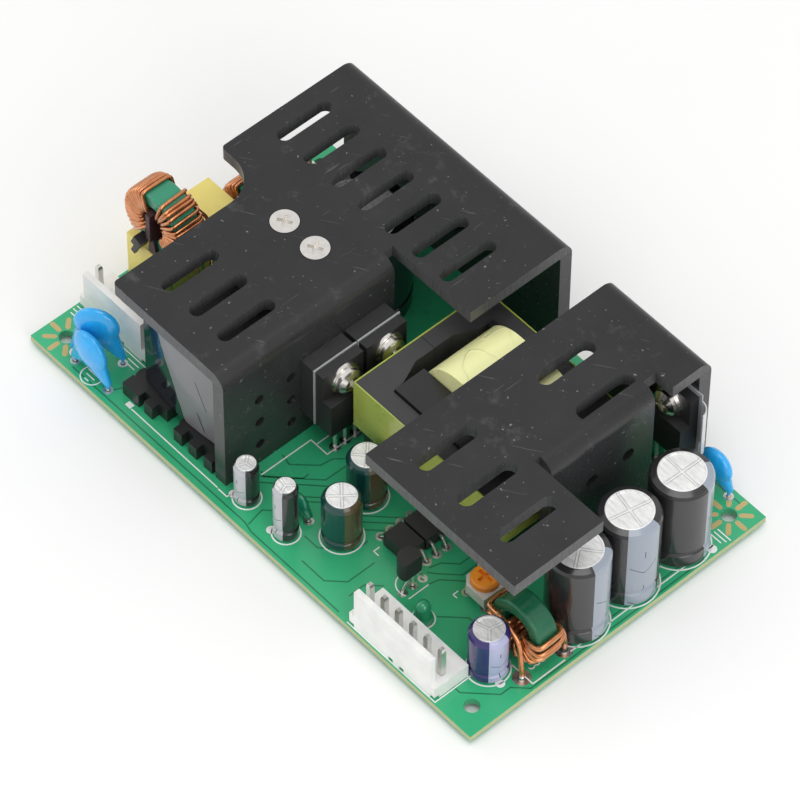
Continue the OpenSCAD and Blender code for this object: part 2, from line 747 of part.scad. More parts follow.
module countersunk_screws() {
    color("gainsboro") for (p = csk_at) translate([left + p.x, front + p.y, sink_top]) difference() {
        union() {
            translate([0, 0, -csk_rim]) cylinder(d = csk_head_d, h = csk_rim);
            translate([0, 0, -csk_rim - csk_cone]) cylinder(d1 = csk_d, d2 = csk_head_d, h = csk_cone);
            translate([0, 0, -csk_len]) cylinder(d = csk_d, h = csk_len - csk_rim - csk_cone + 0.1);
        }
        for (a = csk_cross) rotate(a)
            translate([-cross_l / 2, -cross_w / 2, -cross_depth]) cube([cross_l, cross_w, 2]);
    }
}

// ---- bridge rectifier on its bracket ----

module rectifier_bracket() {
    at = from_left(bracket_at);
    z1 = plate_under - touch_gap;
    color("silver") difference() {
        union() {
            translate([at.x - bracket_w / 2, at.y - bracket_foot / 2, z1 - bracket_t])
                cube([bracket_w, bracket_foot, bracket_t]);
            translate([at.x - bracket_w / 2, at.y - bracket_foot / 2, z1 - bracket_h])
                cube([bracket_w, bracket_t, bracket_h]);
        }
        for (p = csk_at) translate([left + p.x, front + p.y, z1 - bracket_t - 1])
            cylinder(d = csk_d + 2 * fit_gap, h = bracket_t + 2);
    }
}

module bridge_rectifier() {
    at = from_left(bracket_at);
    z1 = plate_under - bracket_t - 1;
    color("#202020") union() {
        translate([at.x - bridge_w / 2, bridge_y - bridge_t / 2, z1 - bridge_h])
            cube([bridge_w, bridge_t, bridge_h]);
        for (p = bridge_leads) lead(p, z1 - bridge_h + lead_root);
    }
}

// ---- power packages ----

module insulator_blocks() {
    h = pack_h - block_drop;
    color("#2b2b2b") for (y = transistor_y) difference() {
        translate([wall1_x + touch_gap, y - pack_w / 2, transistor_top - block_drop - h])
            cube([block_t, pack_w, h]);
        translate([wall1_x - 1, y, transistor_screw_z]) rotate([0, 90, 0])
            cylinder(d = screw_d + 2 * fit_gap, h = block_t + 2);
    }
}

module power_transistor(y) {
    color("#1c1c1c") translate([transistor_x, y, transistor_top])
        power_package(transistor_top + lead_out);
}

module output_rectifier(x) {
    color("#1c1c1c") translate([x, rectifier_y, rectifier_top]) rotate(-90)
        power_package(rectifier_top + lead_out);
}

module thermal_pads() {
    h = pack_h + 2 * pad_margin;
    w = pack_w + 2 * pad_margin;
    bore = screw_d + 2 * fit_gap;
    m = pad_side_margin;
    color("lightgray") union() {
        for (y = transistor_y) translate([transistor_x - touch_gap - pad_t, y, transistor_top])
            difference() {
                translate([0, -pack_w / 2 - m, -pack_h]) cube([pad_t, pack_w + 2 * m, pack_h + m]);
                translate([-1, 0, -pack_hole_drop]) rotate([0, 90, 0]) cylinder(d = bore, h = pad_t + 2);
            }
        for (x = rectifier_x) translate([x, rectifier_y + touch_gap, rectifier_top]) difference() {
            translate([-w / 2 + m, 0, -pack_h - pad_margin]) cube([w - 2 * m, pad_t, h]);
            translate([0, -1, -pack_hole_drop]) rotate([-90, 0, 0]) cylinder(d = bore, h = pad_t + 2);
        }
    }
}

module pan_head_screws() {
    seat = pack_tab_t + 2 * touch_gap + washer_t;
    color("whitesmoke") union() {
        for (y = transistor_y) translate([transistor_x + seat, y, transistor_screw_z])
            pan_screw(seat + pad_t + 3 * touch_gap + block_t + sheet_t + 0.5);
        for (x = rectifier_x) translate([x, rectifier_y - seat, rectifier_screw_z]) rotate(-90)
            pan_screw(seat + pad_t + 2 * touch_gap + sheet_t - 0.3);
    }
}

module screw_washers() {
    d = washer_d;
    bore = screw_d + 2 * fit_gap;
    color("gainsboro") union() {
        for (y = transistor_y) translate([transistor_x + pack_tab_t + touch_gap, y, transistor_screw_z])
            rotate([0, 90, 0]) difference() {
                cylinder(d = d, h = washer_t);
                translate([0, 0, -1]) cylinder(d = bore, h = washer_t + 2);
            }
        for (x = rectifier_x) translate([x, rectifier_y - pack_tab_t - touch_gap, rectifier_screw_z])
            rotate([90, 0, 0]) difference() {
                cylinder(d = d, h = washer_t);
                translate([0, 0, -1]) cylinder(d = bore, h = washer_t + 2);
            }
    }
}

// ---- connectors ----

module input_header() { color("white") header(input_corner, input_slots); }
module input_pins() { color("silver") contacts(input_corner, input_contacts); }
module output_header() { color("white") header(output_corner, output_slots); }
module output_pins() { color("silver") contacts(output_corner, output_contacts); }

// ---- input filter ----

module fuse() {
    at = from_left(fuse_at);
    z = board_t + fuse_d / 2 + seat_gap;
    color("tan") union() {
        translate([at.x, at.y + fuse_l / 2, z]) rotate([90, 0, 0]) cylinder(d = fuse_d, h = fuse_l);
        for (p = fuse_leads) {
            lead(p, z + p.z / 2);
            s = sign(p.y - at.y);
            rod([at.x, at.y + s * (fuse_l / 2 - 0.2), z], [p.x, p.y, z], p.z);
        }
    }
}

module varistor() {
    c = [from_left(varistor_at), 90, varistor_d, varistor_d / 2 + varistor_lift, varistor_pitch];
    color("indianred") dipped_disc(c, disc_t);
}

module y_capacitor(c) { color("dodgerblue") dipped_disc(c, disc_t); }

module x_capacitor() {
    p = from_left(x_cap_at);
    color("khaki") union() {
        translate([p.x, p.y, board_t + touch_gap]) cube([x_cap_w, x_cap_l, x_cap_h - touch_gap]);
        for (q = x_cap_leads) lead(q, board_t + 1);
    }
}

module input_choke_core() {
    color("mediumseagreen") ring_core(choke_mid, choke_axis_z, choke_d, choke_bore_d, choke_l);
}

// A layer of any thickness round the input choke's ring.
module input_choke_layer(thick, start, sweep) {
    ring_winding(choke_mid, choke_axis_z, choke_d, choke_bore_d, choke_l, thick, choke_core_gap,
        start, sweep);
}

// The outer winding's two ends pass behind the ring to reach the board.
module input_choke_winding_1() {
    color("peru") union() {
        input_choke_layer(choke_wire, choke_starts[0], choke_sweep);
        for (i = [2, 3]) {
            p = choke_leads[i];
            z = choke_axis_z - choke_d / 2 + (i - 1) * 1.5;
            rod([choke_mid.x - choke_d / 2 + 2.2, choke_mid.y + choke_side_y, z + 0.4],
                [p.x, p.y, z], p.z - 0.1);
            lead(p, z + p.z / 2);
        }
    }
}

module input_choke_winding_2() {
    color("peru") union() {
        input_choke_layer(choke_wire, choke_starts[1], choke_sweep);
        for (i = [0, 1]) lead(choke_leads[i], choke_axis_z - 3);
    }
}

// A sleeve around the bottom of the ring and a plate across its bore keep the windings apart.
module input_choke_divider() {
    r = choke_bore_d / 2;
    color("#3a1d22") union() {
        input_choke_layer(sleeve_t, sleeve_start, sleeve_sweep);
        translate([choke_mid.x - plate_t / 2, choke_mid.y - choke_l / 2 - choke_wire,
            choke_axis_z - r + plate_in])
            cube([plate_t, choke_l + 2 * choke_wire, 2 * (r - plate_in)]);
    }
}

module input_choke_tie() {
    mid = (choke_d + choke_bore_d) / 4;
    color("#1a1a1a") union() {
        input_choke_layer(tie_t, tie_start, tie_sweep);
        // Head and tail in front of the ring.
        translate([choke_mid.x, choke_mid.y - choke_l / 2, choke_axis_z])
            rotate([90, 0, 0]) rotate(tie_turn) {
                translate([-1.1, -mid - 1.4, 0.4]) cube([2.2, 2.6, 2.4]);
                translate([-0.6, -mid - 6, 1.1]) cube([1.2, 5, 0.7]);
            }
    }
}

module filter_choke_core() {
    color("mediumseagreen")
        ring_core(filter_mid, filter_choke_z, filter_choke_d, filter_choke_bore_d, filter_choke_l);
}

module filter_choke_windings() {
    color("peru") for (side = [0, 1]) union() {
        ring_winding(filter_mid, filter_choke_z, filter_choke_d, filter_choke_bore_d, filter_choke_l,
            choke_wire, choke_core_gap, filter_start + side * 180, filter_sweep);
        for (i = [0, 1]) lead(filter_leads[2 * side + i], filter_choke_z - 1);
    }
}

// ---- storage and boost ----

module bulk_capacitor() { color("#202428") can(bulk_cap); }

module boost_bobbin() {
    x0 = boost_mid.x - boost_base_l / 2;
    y0 = front + boost_at.y;
    z0 = boost_base_z;
    low = boost_core_z + boost_core_wall + seat_gap;
    high = boost_core_z + boost_core_h - boost_core_wall - seat_gap;
    fx = boost_core_l - 2 * boost_core_leg - 2 * seat_gap;
    color("#262626") difference() {
        union() {
            // Front rail with a rounded left end and the contact blocks in front of it.
            translate([x0 + boost_corner_r, y0 + boost_block_d, z0])
                cube([boost_base_l - boost_corner_r, boost_rail_w - boost_block_d, boost_rail_h]);
            translate([x0 + boost_corner_r, y0 + boost_block_d + boost_corner_r, z0])
                cylinder(r = boost_corner_r, h = boost_rail_h);
            for (x = boost_block_x) translate([boost_mid.x + x - boost_block_w / 2, y0, z0])
                cube([boost_block_w, boost_block_d + 1, boost_rail_h]);
            // Front riser, bottom flange and back rail around the core's bottom.
            translate([boost_mid.x - fx / 2, y0 + boost_flange_y, z0])
                cube([fx, boost_rail_w - boost_flange_y, low + boost_flange_t - z0]);
            translate([boost_mid.x - fx / 2, y0 + boost_flange_y, low])
                cube([fx, boost_base_w - boost_flange_y, boost_flange_t]);
            translate([boost_mid.x - fx / 2, y0 + boost_base_w - boost_back_rail_w, z0])
                cube([fx, boost_back_rail_w, low + boost_flange_t - z0]);
            translate([boost_mid.x, boost_mid.y, low])
                cylinder(d = boost_post_d + 2 * boost_tube_wall, h = high - low);
            translate([boost_mid.x - fx / 2, boost_mid.y - boost_core_w / 2 - boost_flange_out,
                high - boost_flange_t])
                cube([fx, boost_core_w + 2 * boost_flange_out, boost_flange_t]);
        }
        translate([boost_mid.x + boost_break[0], y0 - 1, z0 - 1])
            cube([boost_break[1] - boost_break[0], boost_flange_y + 1 - 0.2, boost_rail_h + 2]);
        translate([boost_mid.x, boost_mid.y, z0]) cylinder(d = boost_post_d, h = boost_core_h);
    }
    color("silver") for (p = boost_pins) lead(p, z0 + 1);
}

module boost_core() {
    half = boost_core_h / 2;
    color("#4a4a4d") for (side = [0, 1])
        translate([boost_mid.x, boost_mid.y, boost_core_z + half]) mirror([0, 0, side])
            translate([0, 0, core_gap / 2]) union() {
                translate([-boost_core_l / 2, -boost_core_w / 2, half - boost_core_wall - core_gap / 2])
                    cube([boost_core_l, boost_core_w, boost_core_wall]);
                for (x = [-boost_core_l / 2, boost_core_l / 2 - boost_core_leg])
                    translate([x, -boost_core_w / 2, 0])
                        cube([boost_core_leg, boost_core_w, half - core_gap / 2]);
                cylinder(d = boost_post_d - 2 * fit_gap, h = half - core_gap / 2);
            }
}

module boost_winding() {
    low = boost_core_z + boost_core_wall + 2 * seat_gap + boost_flange_t;
    high = boost_core_z + boost_core_h - boost_core_wall - 2 * seat_gap - boost_flange_t;
    color("khaki") translate([boost_mid.x, boost_mid.y, low]) difference() {
        cylinder(d = boost_winding_d, h = high - low);
        translate([0, 0, -1])
            cylinder(d = boost_post_d + 2 * (boost_tube_wall + touch_gap), h = boost_core_h);
    }
}

// A springy sheet, bowed towards the front edge of the board.
module insulating_film() {
    x1 = wall1_x - sheet_t - 0.3;
    r = film_l * film_l / (8 * film_bow);
    y = front + boost_at.y + film_y;
    z0 = boost_base_z + boost_rail_h + seat_gap;
    color("#3c3c40") translate([x1 - film_l / 2, y + r, z0])
        linear_extrude(plate_under - seat_gap - z0) intersection() {
            difference() {
                circle(r = r, $fn = 180);
                circle(r = r - film_t, $fn = 180);
            }
            translate([-film_l / 2, -r - 1]) square([film_l, 2 * film_bow + 2]);
        }
}

// ---- main transformer ----

// One E half of the core: spine in front, legs to the middle.
module core_half() {
    difference() {
        translate([-core_l / 2, -core_w / 2, core_z])
            cube([core_l, core_w / 2 - core_gap / 2, core_t]);
        difference() {
            translate([-core_l / 2 + core_leg, -core_w / 2 + core_spine, core_z - 1])
                cube([core_l - 2 * core_leg, core_w, core_t + 2]);
            // Thickened inner corners beside the winding.
            for (s = [-1, 1])
                translate([s * (core_l / 2 - core_leg), -core_w / 2 + core_spine, core_z - 2])
                    linear_extrude(core_t + 4) polygon([[0, 0], [-s * core_brace[0], 0],
                        [-s * core_brace[1], core_brace[2]], [0, core_brace[3]]]);
        }
    }
    translate([0, -core_gap / 2, core_z + core_t / 2]) rotate([90, 0, 0])
        cylinder(d = core_post_d, h = core_w / 2 - core_spine + 0.5 - core_gap / 2);
}

module transformer_core_1() {
    color("#5a5a5c") translate([transformer_mid.x, transformer_mid.y, 0]) core_half();
}

module transformer_core_2() {
    color("#5a5a5c") translate([transformer_mid.x, transformer_mid.y, 0]) mirror([0, 1, 0]) core_half();
}

module transformer_bobbin() {
    wl = core_w - 2 * core_spine - 2 * seat_gap;
    fw = core_l - 2 * core_leg - 2 * core_brace[0] - 2 * seat_gap;
    zc = core_z + core_t / 2;
    top = core_z + core_t + 0.8;
    tube_d = core_post_d + 2 * fit_gap;
    color("#1f1f1f") difference() {
        union() {
            translate([transformer_mid.x, transformer_mid.y + wl / 2, zc]) rotate([90, 0, 0])
                cylinder(d = tube_d + 2 * bobbin_wall, h = wl);
            for (y = [-wl / 2, wl / 2 - bobbin_flange_t])
                translate([transformer_mid.x - fw / 2, transformer_mid.y + y, board_t + 4])
                    cube([fw, bobbin_flange_t, top - board_t - 4]);
            for (y = rail_y)
                translate([transformer_mid.x - core_l / 2 + 2, y - bobbin_rail_w / 2 + 0.4, board_t + 0.6])
                    cube([core_l - 4, bobbin_rail_w - 0.8, transformer_foot - 0.6 - seat_gap]);
            // Shelf over the front end of the winding.
            translate([transformer_mid.x - fw / 2, transformer_mid.y - wl / 2, top - bobbin_shelf_t])
                cube([fw, bobbin_shelf, bobbin_shelf_t]);
        }
        translate([transformer_mid.x, transformer_mid.y + core_w, zc]) rotate([90, 0, 0])
            cylinder(d = tube_d, h = 2 * core_w);
    }
    color("silver") for (p = transformer_pins) lead(p, board_t + 1.5);
}

module transformer_winding() {
    wl = core_w - 2 * core_spine - 2 * seat_gap;
    y1 = transformer_mid.y + wl / 2 - bobbin_flange_t - seat_gap;
    y0 = transformer_mid.y - wl / 2 + bobbin_shelf + seat_gap;
    color("palegoldenrod") translate([transformer_mid.x, y1, core_z + core_t / 2]) rotate([90, 0, 0])
        linear_extrude(y1 - y0) difference() {
            round_rect(winding_w, winding_h, winding_round);
            circle(d = core_post_d + 2 * (fit_gap + bobbin_wall + touch_gap));
        }
}

module transformer_tape() {
    o = tape_t + touch_gap;
    color("#cdd45a") difference() {
        translate([transformer_corner.x - o, transformer_corner.y - o, core_z - 0.2])
            cube([core_l + 2 * o, core_w + 2 * o, core_t + 0.4]);
        translate([transformer_corner.x - touch_gap, transformer_corner.y - touch_gap, core_z - 1])
            cube([core_l + 2 * touch_gap, core_w + 2 * touch_gap, core_t + 2]);
    }
}

// ---- capacitors ----

module small_capacitor(c) { color("#2a2a2c") can(c); }
module driver_capacitor(c) { color("#20403c") can(c); }
module output_capacitor(c) { color("#2c2c2e") can(c); }
module feedback_capacitor() { color("#3a3570") can(feedback_cap); }
module ceramic_capacitor() { color("#2f7a55") dipped_disc(ceramic, ceramic_t); }

// ---- control parts ----

module optocoupler(at) {
    z = board_t + opto_lift;
    shoulder = z + opto_h / 2;
    color("#26262a") union() {
        translate([at.x - opto_l / 2, at.y - opto_w / 2, z]) cube([opto_l, opto_w, opto_h]);
        for (p = opto_leads(at)) {
            s = sign(p.x - at.x);
            edge = at.x + s * opto_l / 2;
            rod([edge - s * 0.1, p.y, shoulder], [edge + s * 0.6, p.y, shoulder], p.z);
            rod([edge + s * 0.5, p.y, shoulder], [p.x, p.y, board_t + 0.3], p.z);
            lead(p, board_t + 0.4);
        }
    }
}

module signal_transistor() {
    z = board_t + to92_lift;
    color("#242426") union() {
        translate([to92_at.x - 1, to92_at.y, z]) intersection() {
            cylinder(d = to92_d, h = to92_h);
            translate([-to92_d, -to92_d, -1]) cube([to92_d + to92_flat, 2 * to92_d, to92_h + 2]);
        }
        for (i = [0 : 2]) {
            p = to92_leads[i];
            y = to92_at.y + (i - 1) * 1.27;
            translate([p.x, y, z - 0.9]) cylinder(d = p.z, h = 1.2, $fn = lead_sides);
            rod([p.x, y, z - 0.7], [p.x, p.y, board_t + 0.9], p.z - 0.04, lead_sides);
            lead(p, board_t + 1.1);
        }
    }
}

module indicator_led() {
    z = board_t + touch_gap;
    color("#3fae74") translate([led_at.x, led_at.y, z]) rotate_extrude() union() {
        square([led_flange_d / 2, led_flange_h]);
        square([led_d / 2, led_h - led_d / 2]);
        translate([0, led_h - led_d / 2]) intersection() {
            circle(d = led_d);
            square(led_d);
        }
    }
    color("silver") for (p = led_leads) lead(p, z + 0.3);
}

module trimmer_base() {
    z = board_t + trimmer_lift;
    color("lightgray") union() {
        difference() {
            translate([trimmer_at.x - trimmer_w / 2, trimmer_at.y - trimmer_w / 2, z])
                cube([trimmer_w, trimmer_w, trimmer_h]);
            translate([trimmer_at.x, trimmer_at.y, trimmer_top - trimmer_shaft_l - 0.2])
                cylinder(d = trimmer_bore_d, h = trimmer_shaft_l + 1);
            // Bevelled front corner that keys the case.
            translate([trimmer_at.x - trimmer_w / 2, trimmer_at.y - trimmer_w / 2, z - 1]) rotate(45)
                cube([trimmer_key, trimmer_key, 2 * trimmer_h + 4], center = true);
        }
        for (p = trimmer_leads) lead(p, z + 0.3);
    }
}

module trimmer_dial() {
    z = trimmer_top + dial_gap;
    color("darkorange") translate([trimmer_at.x, trimmer_at.y, z]) difference() {
        union() {
            cylinder(d = dial_d, h = dial_h - 0.4);
            translate([0, 0, dial_h - 0.4]) cylinder(d1 = dial_d, d2 = dial_d - 0.8, h = 0.4);
            translate([0, 0, -dial_gap - trimmer_shaft_l])
                cylinder(d = trimmer_shaft_d, h = trimmer_shaft_l + dial_gap + 0.1);
        }
        for (a = [0, 90]) rotate(a) translate([-dial_d * 0.3, -dial_slot_w / 2, dial_h - 0.8])
            cube([dial_d * 0.6, dial_slot_w, 2]);
    }
}

// ---- output inductor ----

module output_inductor_core() {
    color("#2f6f4e") ring_core(inductor_at, inductor_z, inductor_d, inductor_bore_d, inductor_l);
}

module output_inductor_winding() {
    y_out = inductor_l / 2 + inductor_gap + inductor_wire_d / 2;
    color("peru") union() {
        ring_winding(inductor_at, inductor_z, inductor_d, inductor_bore_d, inductor_l,
            inductor_wire_d, inductor_gap, inductor_start, inductor_sweep);
        for (i = [0, 1]) {
            p = inductor_pads[i];
            side = i == 0 ? -1 : 1;
            d = inductor_wire_d - 0.1;
            rod([inductor_at.x + inductor_d / 2 - 2.4, inductor_at.y + side * y_out, inductor_z - 1],
                [p.x, p.y, board_t + 0.6], d);
            lead([p.x, p.y, d], board_t + 0.8);
        }
    }
}

// ---- underside ----

module surface_mount_parts() {
    color("#1e1e20") union() {
        for (p = chips) translate([left + p[0], front + p[1], -touch_gap - chip_h])
            cube([p[2], p[3], chip_h]);
        for (i = [0 : 5], j = [0, 1])
            translate([left + chip_grid.x + i * chip_step.x, front + chip_grid.y + j * chip_step.y,
                -touch_gap - small_chip.z])
                cube(small_chip);
    }
}

circuit_board();
primary_heatsink();
secondary_heatsink();
countersunk_screws();
rectifier_bracket();
bridge_rectifier();
insulator_blocks();
pan_head_screws();
screw_washers();
thermal_pads();
power_transistor(transistor_y[0]);  // power_transistor_1
power_transistor(transistor_y[1]);  // power_transistor_2
output_rectifier(rectifier_x[0]);  // output_rectifier_1
output_rectifier(rectifier_x[1]);  // output_rectifier_2
insulating_film();
input_header();
input_pins();
output_header();
output_pins();
fuse();
varistor();
y_capacitor(y_cap_1);  // y_capacitor_1
y_capacitor(y_cap_2);  // y_capacitor_2
y_capacitor(y_cap_3);  // y_capacitor_3
x_capacitor();
input_choke_core();
input_choke_winding_1();
input_choke_winding_2();
input_choke_divider();
input_choke_tie();
filter_choke_core();
filter_choke_windings();
bulk_capacitor();
boost_bobbin();
boost_core();
boost_winding();
transformer_bobbin();
transformer_core_1();
transformer_core_2();
transformer_winding();
transformer_tape();
small_capacitor(small_cap_1);  // small_capacitor_1
small_capacitor(small_cap_2);  // small_capacitor_2
driver_capacitor(driver_cap_1);  // driver_capacitor_1
driver_capacitor(driver_cap_2);  // driver_capacitor_2
output_capacitor(output_cap_1);  // output_capacitor_1
output_capacitor(output_cap_2);  // output_capacitor_2
output_capacitor(output_cap_3);  // output_capacitor_3
feedback_capacitor();
optocoupler(opto_1);  // optocoupler_1
optocoupler(opto_2);  // optocoupler_2
signal_transistor();
indicator_led();
trimmer_base();
trimmer_dial();
output_inductor_core();
output_inductor_winding();
ceramic_capacitor();
surface_mount_parts();
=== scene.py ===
# %% [markdown]
# # An open frame power supply
# The CAD frame already holds every part at its real size: the board, the bent heatsinks, the
# capacitors and the rest. This notebook dresses it. Each cell takes one finish or one group of
# small pieces, says what it is on the real supply, and makes it with shader nodes or bmesh.

# %% Load the frame
import math
import random

import bmesh
import bpy
from mathutils import Matrix, Vector


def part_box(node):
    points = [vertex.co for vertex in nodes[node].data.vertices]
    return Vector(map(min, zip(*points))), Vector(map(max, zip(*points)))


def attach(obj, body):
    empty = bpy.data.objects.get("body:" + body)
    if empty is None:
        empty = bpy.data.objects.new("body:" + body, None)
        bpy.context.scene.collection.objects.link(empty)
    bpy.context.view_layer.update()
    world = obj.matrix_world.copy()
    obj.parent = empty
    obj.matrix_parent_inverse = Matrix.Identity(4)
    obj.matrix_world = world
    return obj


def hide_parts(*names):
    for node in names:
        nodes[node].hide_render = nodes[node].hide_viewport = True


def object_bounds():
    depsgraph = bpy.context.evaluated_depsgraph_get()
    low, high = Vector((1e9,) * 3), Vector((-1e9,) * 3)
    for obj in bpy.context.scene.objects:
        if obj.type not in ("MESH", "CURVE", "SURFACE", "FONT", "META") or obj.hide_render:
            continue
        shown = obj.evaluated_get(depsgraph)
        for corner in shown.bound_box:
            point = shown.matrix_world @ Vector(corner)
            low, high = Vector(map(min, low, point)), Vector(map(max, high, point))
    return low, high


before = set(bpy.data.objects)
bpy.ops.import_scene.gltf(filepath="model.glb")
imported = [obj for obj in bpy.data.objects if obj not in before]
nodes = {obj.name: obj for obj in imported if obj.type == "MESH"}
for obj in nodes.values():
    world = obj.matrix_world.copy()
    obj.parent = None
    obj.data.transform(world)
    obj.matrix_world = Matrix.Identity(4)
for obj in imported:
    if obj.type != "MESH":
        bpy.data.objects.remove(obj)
cad_box = [list(corner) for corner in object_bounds()]
MM = 0.001
dice = random.Random(7)


def corners(name):
    """A node's lowest and highest corners in millimetres."""
    return [Vector(corner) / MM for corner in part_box(name)]


def middle(name):
    """A node's centre in millimetres."""
    low, high = corners(name)
    return (low + high) / 2


board_low, board_high = corners("circuit_board")
TOP = board_high.z
print(len(nodes), "CAD nodes on a board of", [round(v, 1) for v in board_high - board_low], "mm")

# %% [markdown]
# ## Shader maths as Python
# A procedural finish is mostly arithmetic on coordinates, which is hard to read as a list of
# node links. A small class wraps a socket and overloads the operators, so that `abs(x) < 2`
# adds the Math nodes by itself. Coordinates come in millimetres from a chosen centre, because
# that is how a maker thinks about a stripe or a scratch.

# %% Wire: a socket with operators
class Wire:
    def __init__(self, finish, out):
        self.finish, self.out = finish, out

    def math(self, operation, *others):
        return self.finish.node("ShaderNodeMath", {"operation": operation}, self, *others)

    def __add__(self, other):
        return self.math("ADD", other)

    def __sub__(self, other):
        return self.math("SUBTRACT", other)

    def __rsub__(self, other):
        return self.finish.node("ShaderNodeMath", {"operation": "SUBTRACT"}, other, self)

    def __mul__(self, other):
        return self.math("MULTIPLY", other)

    def __truediv__(self, other):
        return self.math("DIVIDE", other)

    def __lt__(self, other):
        return self.math("LESS_THAN", other)

    def __gt__(self, other):
        return self.math("GREATER_THAN", other)

    def __pow__(self, other):
        return self.math("POWER", other)

    def __abs__(self):
        return self.math("ABSOLUTE")

    __radd__ = __add__
    __rmul__ = __mul__


# %% Finish: one material and its nodes
class Finish:
    """A Principled material whose patterns are written as expressions."""

    def __init__(self, name, colour, rough, metal=0.0, **fixed):
        self.material = bpy.data.materials.new(name)
        self.material.use_nodes = True
        self.tree = self.material.node_tree
        self.shader = self.tree.nodes["Principled BSDF"]
        self.set(**{"Base Color": colour, "Roughness": rough, "Metallic": metal})
        self.set(**{key.replace("_", " "): value for key, value in fixed.items()})

    def link(self, socket, value):
        if isinstance(value, Wire):
            self.tree.links.new(value.out, socket)
        elif hasattr(socket.default_value, "__len__") and len(socket.default_value) == 4:
            socket.default_value = (*value, 1.0)[:4]
        else:
            socket.default_value = value

    def node(self, kind, settings, *values, out=0, **named):
        made = self.tree.nodes.new(kind)
        for key, value in settings.items():
            setattr(made, key, value)
        for socket, value in zip(made.inputs, values):
            self.link(socket, value)
        for key, value in named.items():
            self.link(made.inputs[key.replace("_", " ")], value)
        return Wire(self, made.outputs[out])

    def set(self, **sockets):
        for key, value in sockets.items():
            self.link(self.shader.inputs[key], value)

    def place(self, centre=(0, 0, 0), turn=0.0):
        """Object coordinates in millimetres, from a centre in millimetres, turned in degrees."""
        where = self.node("ShaderNodeTexCoord", {}, out=3)
        scaled = self.node("ShaderNodeVectorMath", {"operation": "SCALE"}, where, Scale=1 / MM)
        moved = self.node("ShaderNodeVectorMath", {"operation": "SUBTRACT"}, scaled, tuple(centre))
        if turn:
            back = (0, 0, -math.radians(turn))
            moved = self.node("ShaderNodeMapping", {"vector_type": "POINT"}, moved, Rotation=back)
        return moved

    def split(self, vector):
        apart = self.node("ShaderNodeSeparateXYZ", {}, vector)
        return [Wire(self, socket) for socket in apart.out.node.outputs]

    def stretch(self, vector, scale):
        return self.node("ShaderNodeVectorMath", {"operation": "MULTIPLY"}, vector, scale)

    def noise(self, vector, scale, detail=3.0, rough=0.5):
        return self.node("ShaderNodeTexNoise", {}, Vector=vector, Scale=scale, Detail=detail, Roughness=rough)

    def spread(self, value, low, high, to_low=0.0, to_high=1.0):
        """Maps low..high to to_low..to_high, without leaving that range."""
        return self.node("ShaderNodeMapRange", {}, value, low, high, to_low, to_high)

    def blend(self, share, first, second):
        mixed = self.node("ShaderNodeMix", {"data_type": "RGBA"}, share, out=2)
        sockets = mixed.out.node.inputs
        self.link(sockets[6], first)
        self.link(sockets[7], second)
        return mixed

    def bump(self, height, depth):
        """A Bump node; depth is the real depth in millimetres of a height of one."""
        return self.node("ShaderNodeBump", {}, Height=height, Distance=depth * MM)


def dress(finish, *names):
    """Gives a finish to CAD nodes."""
    for name in names:
        node = nodes[name]
        for slot in node.material_slots:
            slot.material = finish.material
        if not node.material_slots:
            node.data.materials.append(finish.material)


def shade(colour, factor):
    return tuple(min(1.0, part * factor) for part in colour)


# %% [markdown]
# ## Black anodised sheet
# The heatsinks are sheet aluminium, dyed black. The dye is matt, but handling polishes it, and
# there are pale scuffs, hairline scratches and specks. Noise at several scales makes the
# mottling, the scuffs and the specks; noise squeezed along one axis makes the scratches and
# the striped, sawn-looking edges that a shear leaves. The sheared edges are the faces that
# look sideways within the sheet's own thickness, so their mask comes from the shape.

# %% Anodised finish
SHEET = 3.0


def anodised(name):
    low, high = corners(name)
    black = Finish("anodised_" + name, (0.03, 0.03, 0.032), 0.4, 0.0, Specular_IOR_Level=0.4)
    at = black.place()
    x, y, z = black.split(at)
    mottle = black.noise(at, 0.10, 5.0, 0.6)
    grain = black.noise(at, 2.2, 4.0, 0.7)
    scuffs = black.spread(black.noise(at, 0.16, 8.0, 0.72), 0.58, 0.78)
    specks = black.spread(black.noise(at, 1.1, 2.0), 0.72, 0.76)
    slanted = black.place(turn=33)
    hair_a = black.spread(black.noise(black.stretch(slanted, (0.08, 1.6, 0.4)), 1.0, 2.0), 0.72, 0.76)
    hair_b = black.spread(black.noise(black.stretch(at, (1.4, 0.09, 0.3)), 1.0, 2.0), 0.73, 0.77)
    facing = black.split(black.node("ShaderNodeNewGeometry", {}, out=1))
    plate = z > high.z - SHEET
    sheared = plate * (abs(facing[2]) < 0.05)
    wall = 1 - black.spread(abs(facing[2]), 0.1, 0.9)
    saw = black.noise(black.stretch(at, (2.6, 2.6, 0.25)), 1.0, 2.0, 0.6)
    wear = hair_a * 0.16 + hair_b * 0.12 + specks * 0.40 + scuffs * 0.14 + sheared * saw * 0.22
    dark = black.blend(mottle, (0.012, 0.012, 0.013), (0.024, 0.024, 0.026))
    # The walls and bends, where the wall mask is high, are painted a little paler than the flat tops: a painted sheen.
    black.set(**{
        "Base Color": black.blend(wear, black.blend(wall * 0.04, dark, (0.40, 0.40, 0.41)), (0.40, 0.40, 0.41)),
        "Roughness": black.spread(mottle, 0.3, 0.7, 0.34, 0.44) + scuffs * 0.10 - wall * 0.14 + sheared * 0.16,
        "Normal": black.bump(grain * 0.5 - hair_a - hair_b + sheared * saw * 2.5, 0.04),
    })
    dress(black, name)


anodised("primary_heatsink")
anodised("secondary_heatsink")

# %% [markdown]
# ## Solder mask
# The board is glass fibre under a green lacquer, and its sawn edge shows the tan laminate. The
# lacquer is lighter where copper lies under it. Most of this board is copper, so the finish is
# the lighter green, and the gaps etched between the copper areas are pieces made further down.

# %% Board finish
MASK = (0.035, 0.42, 0.19)


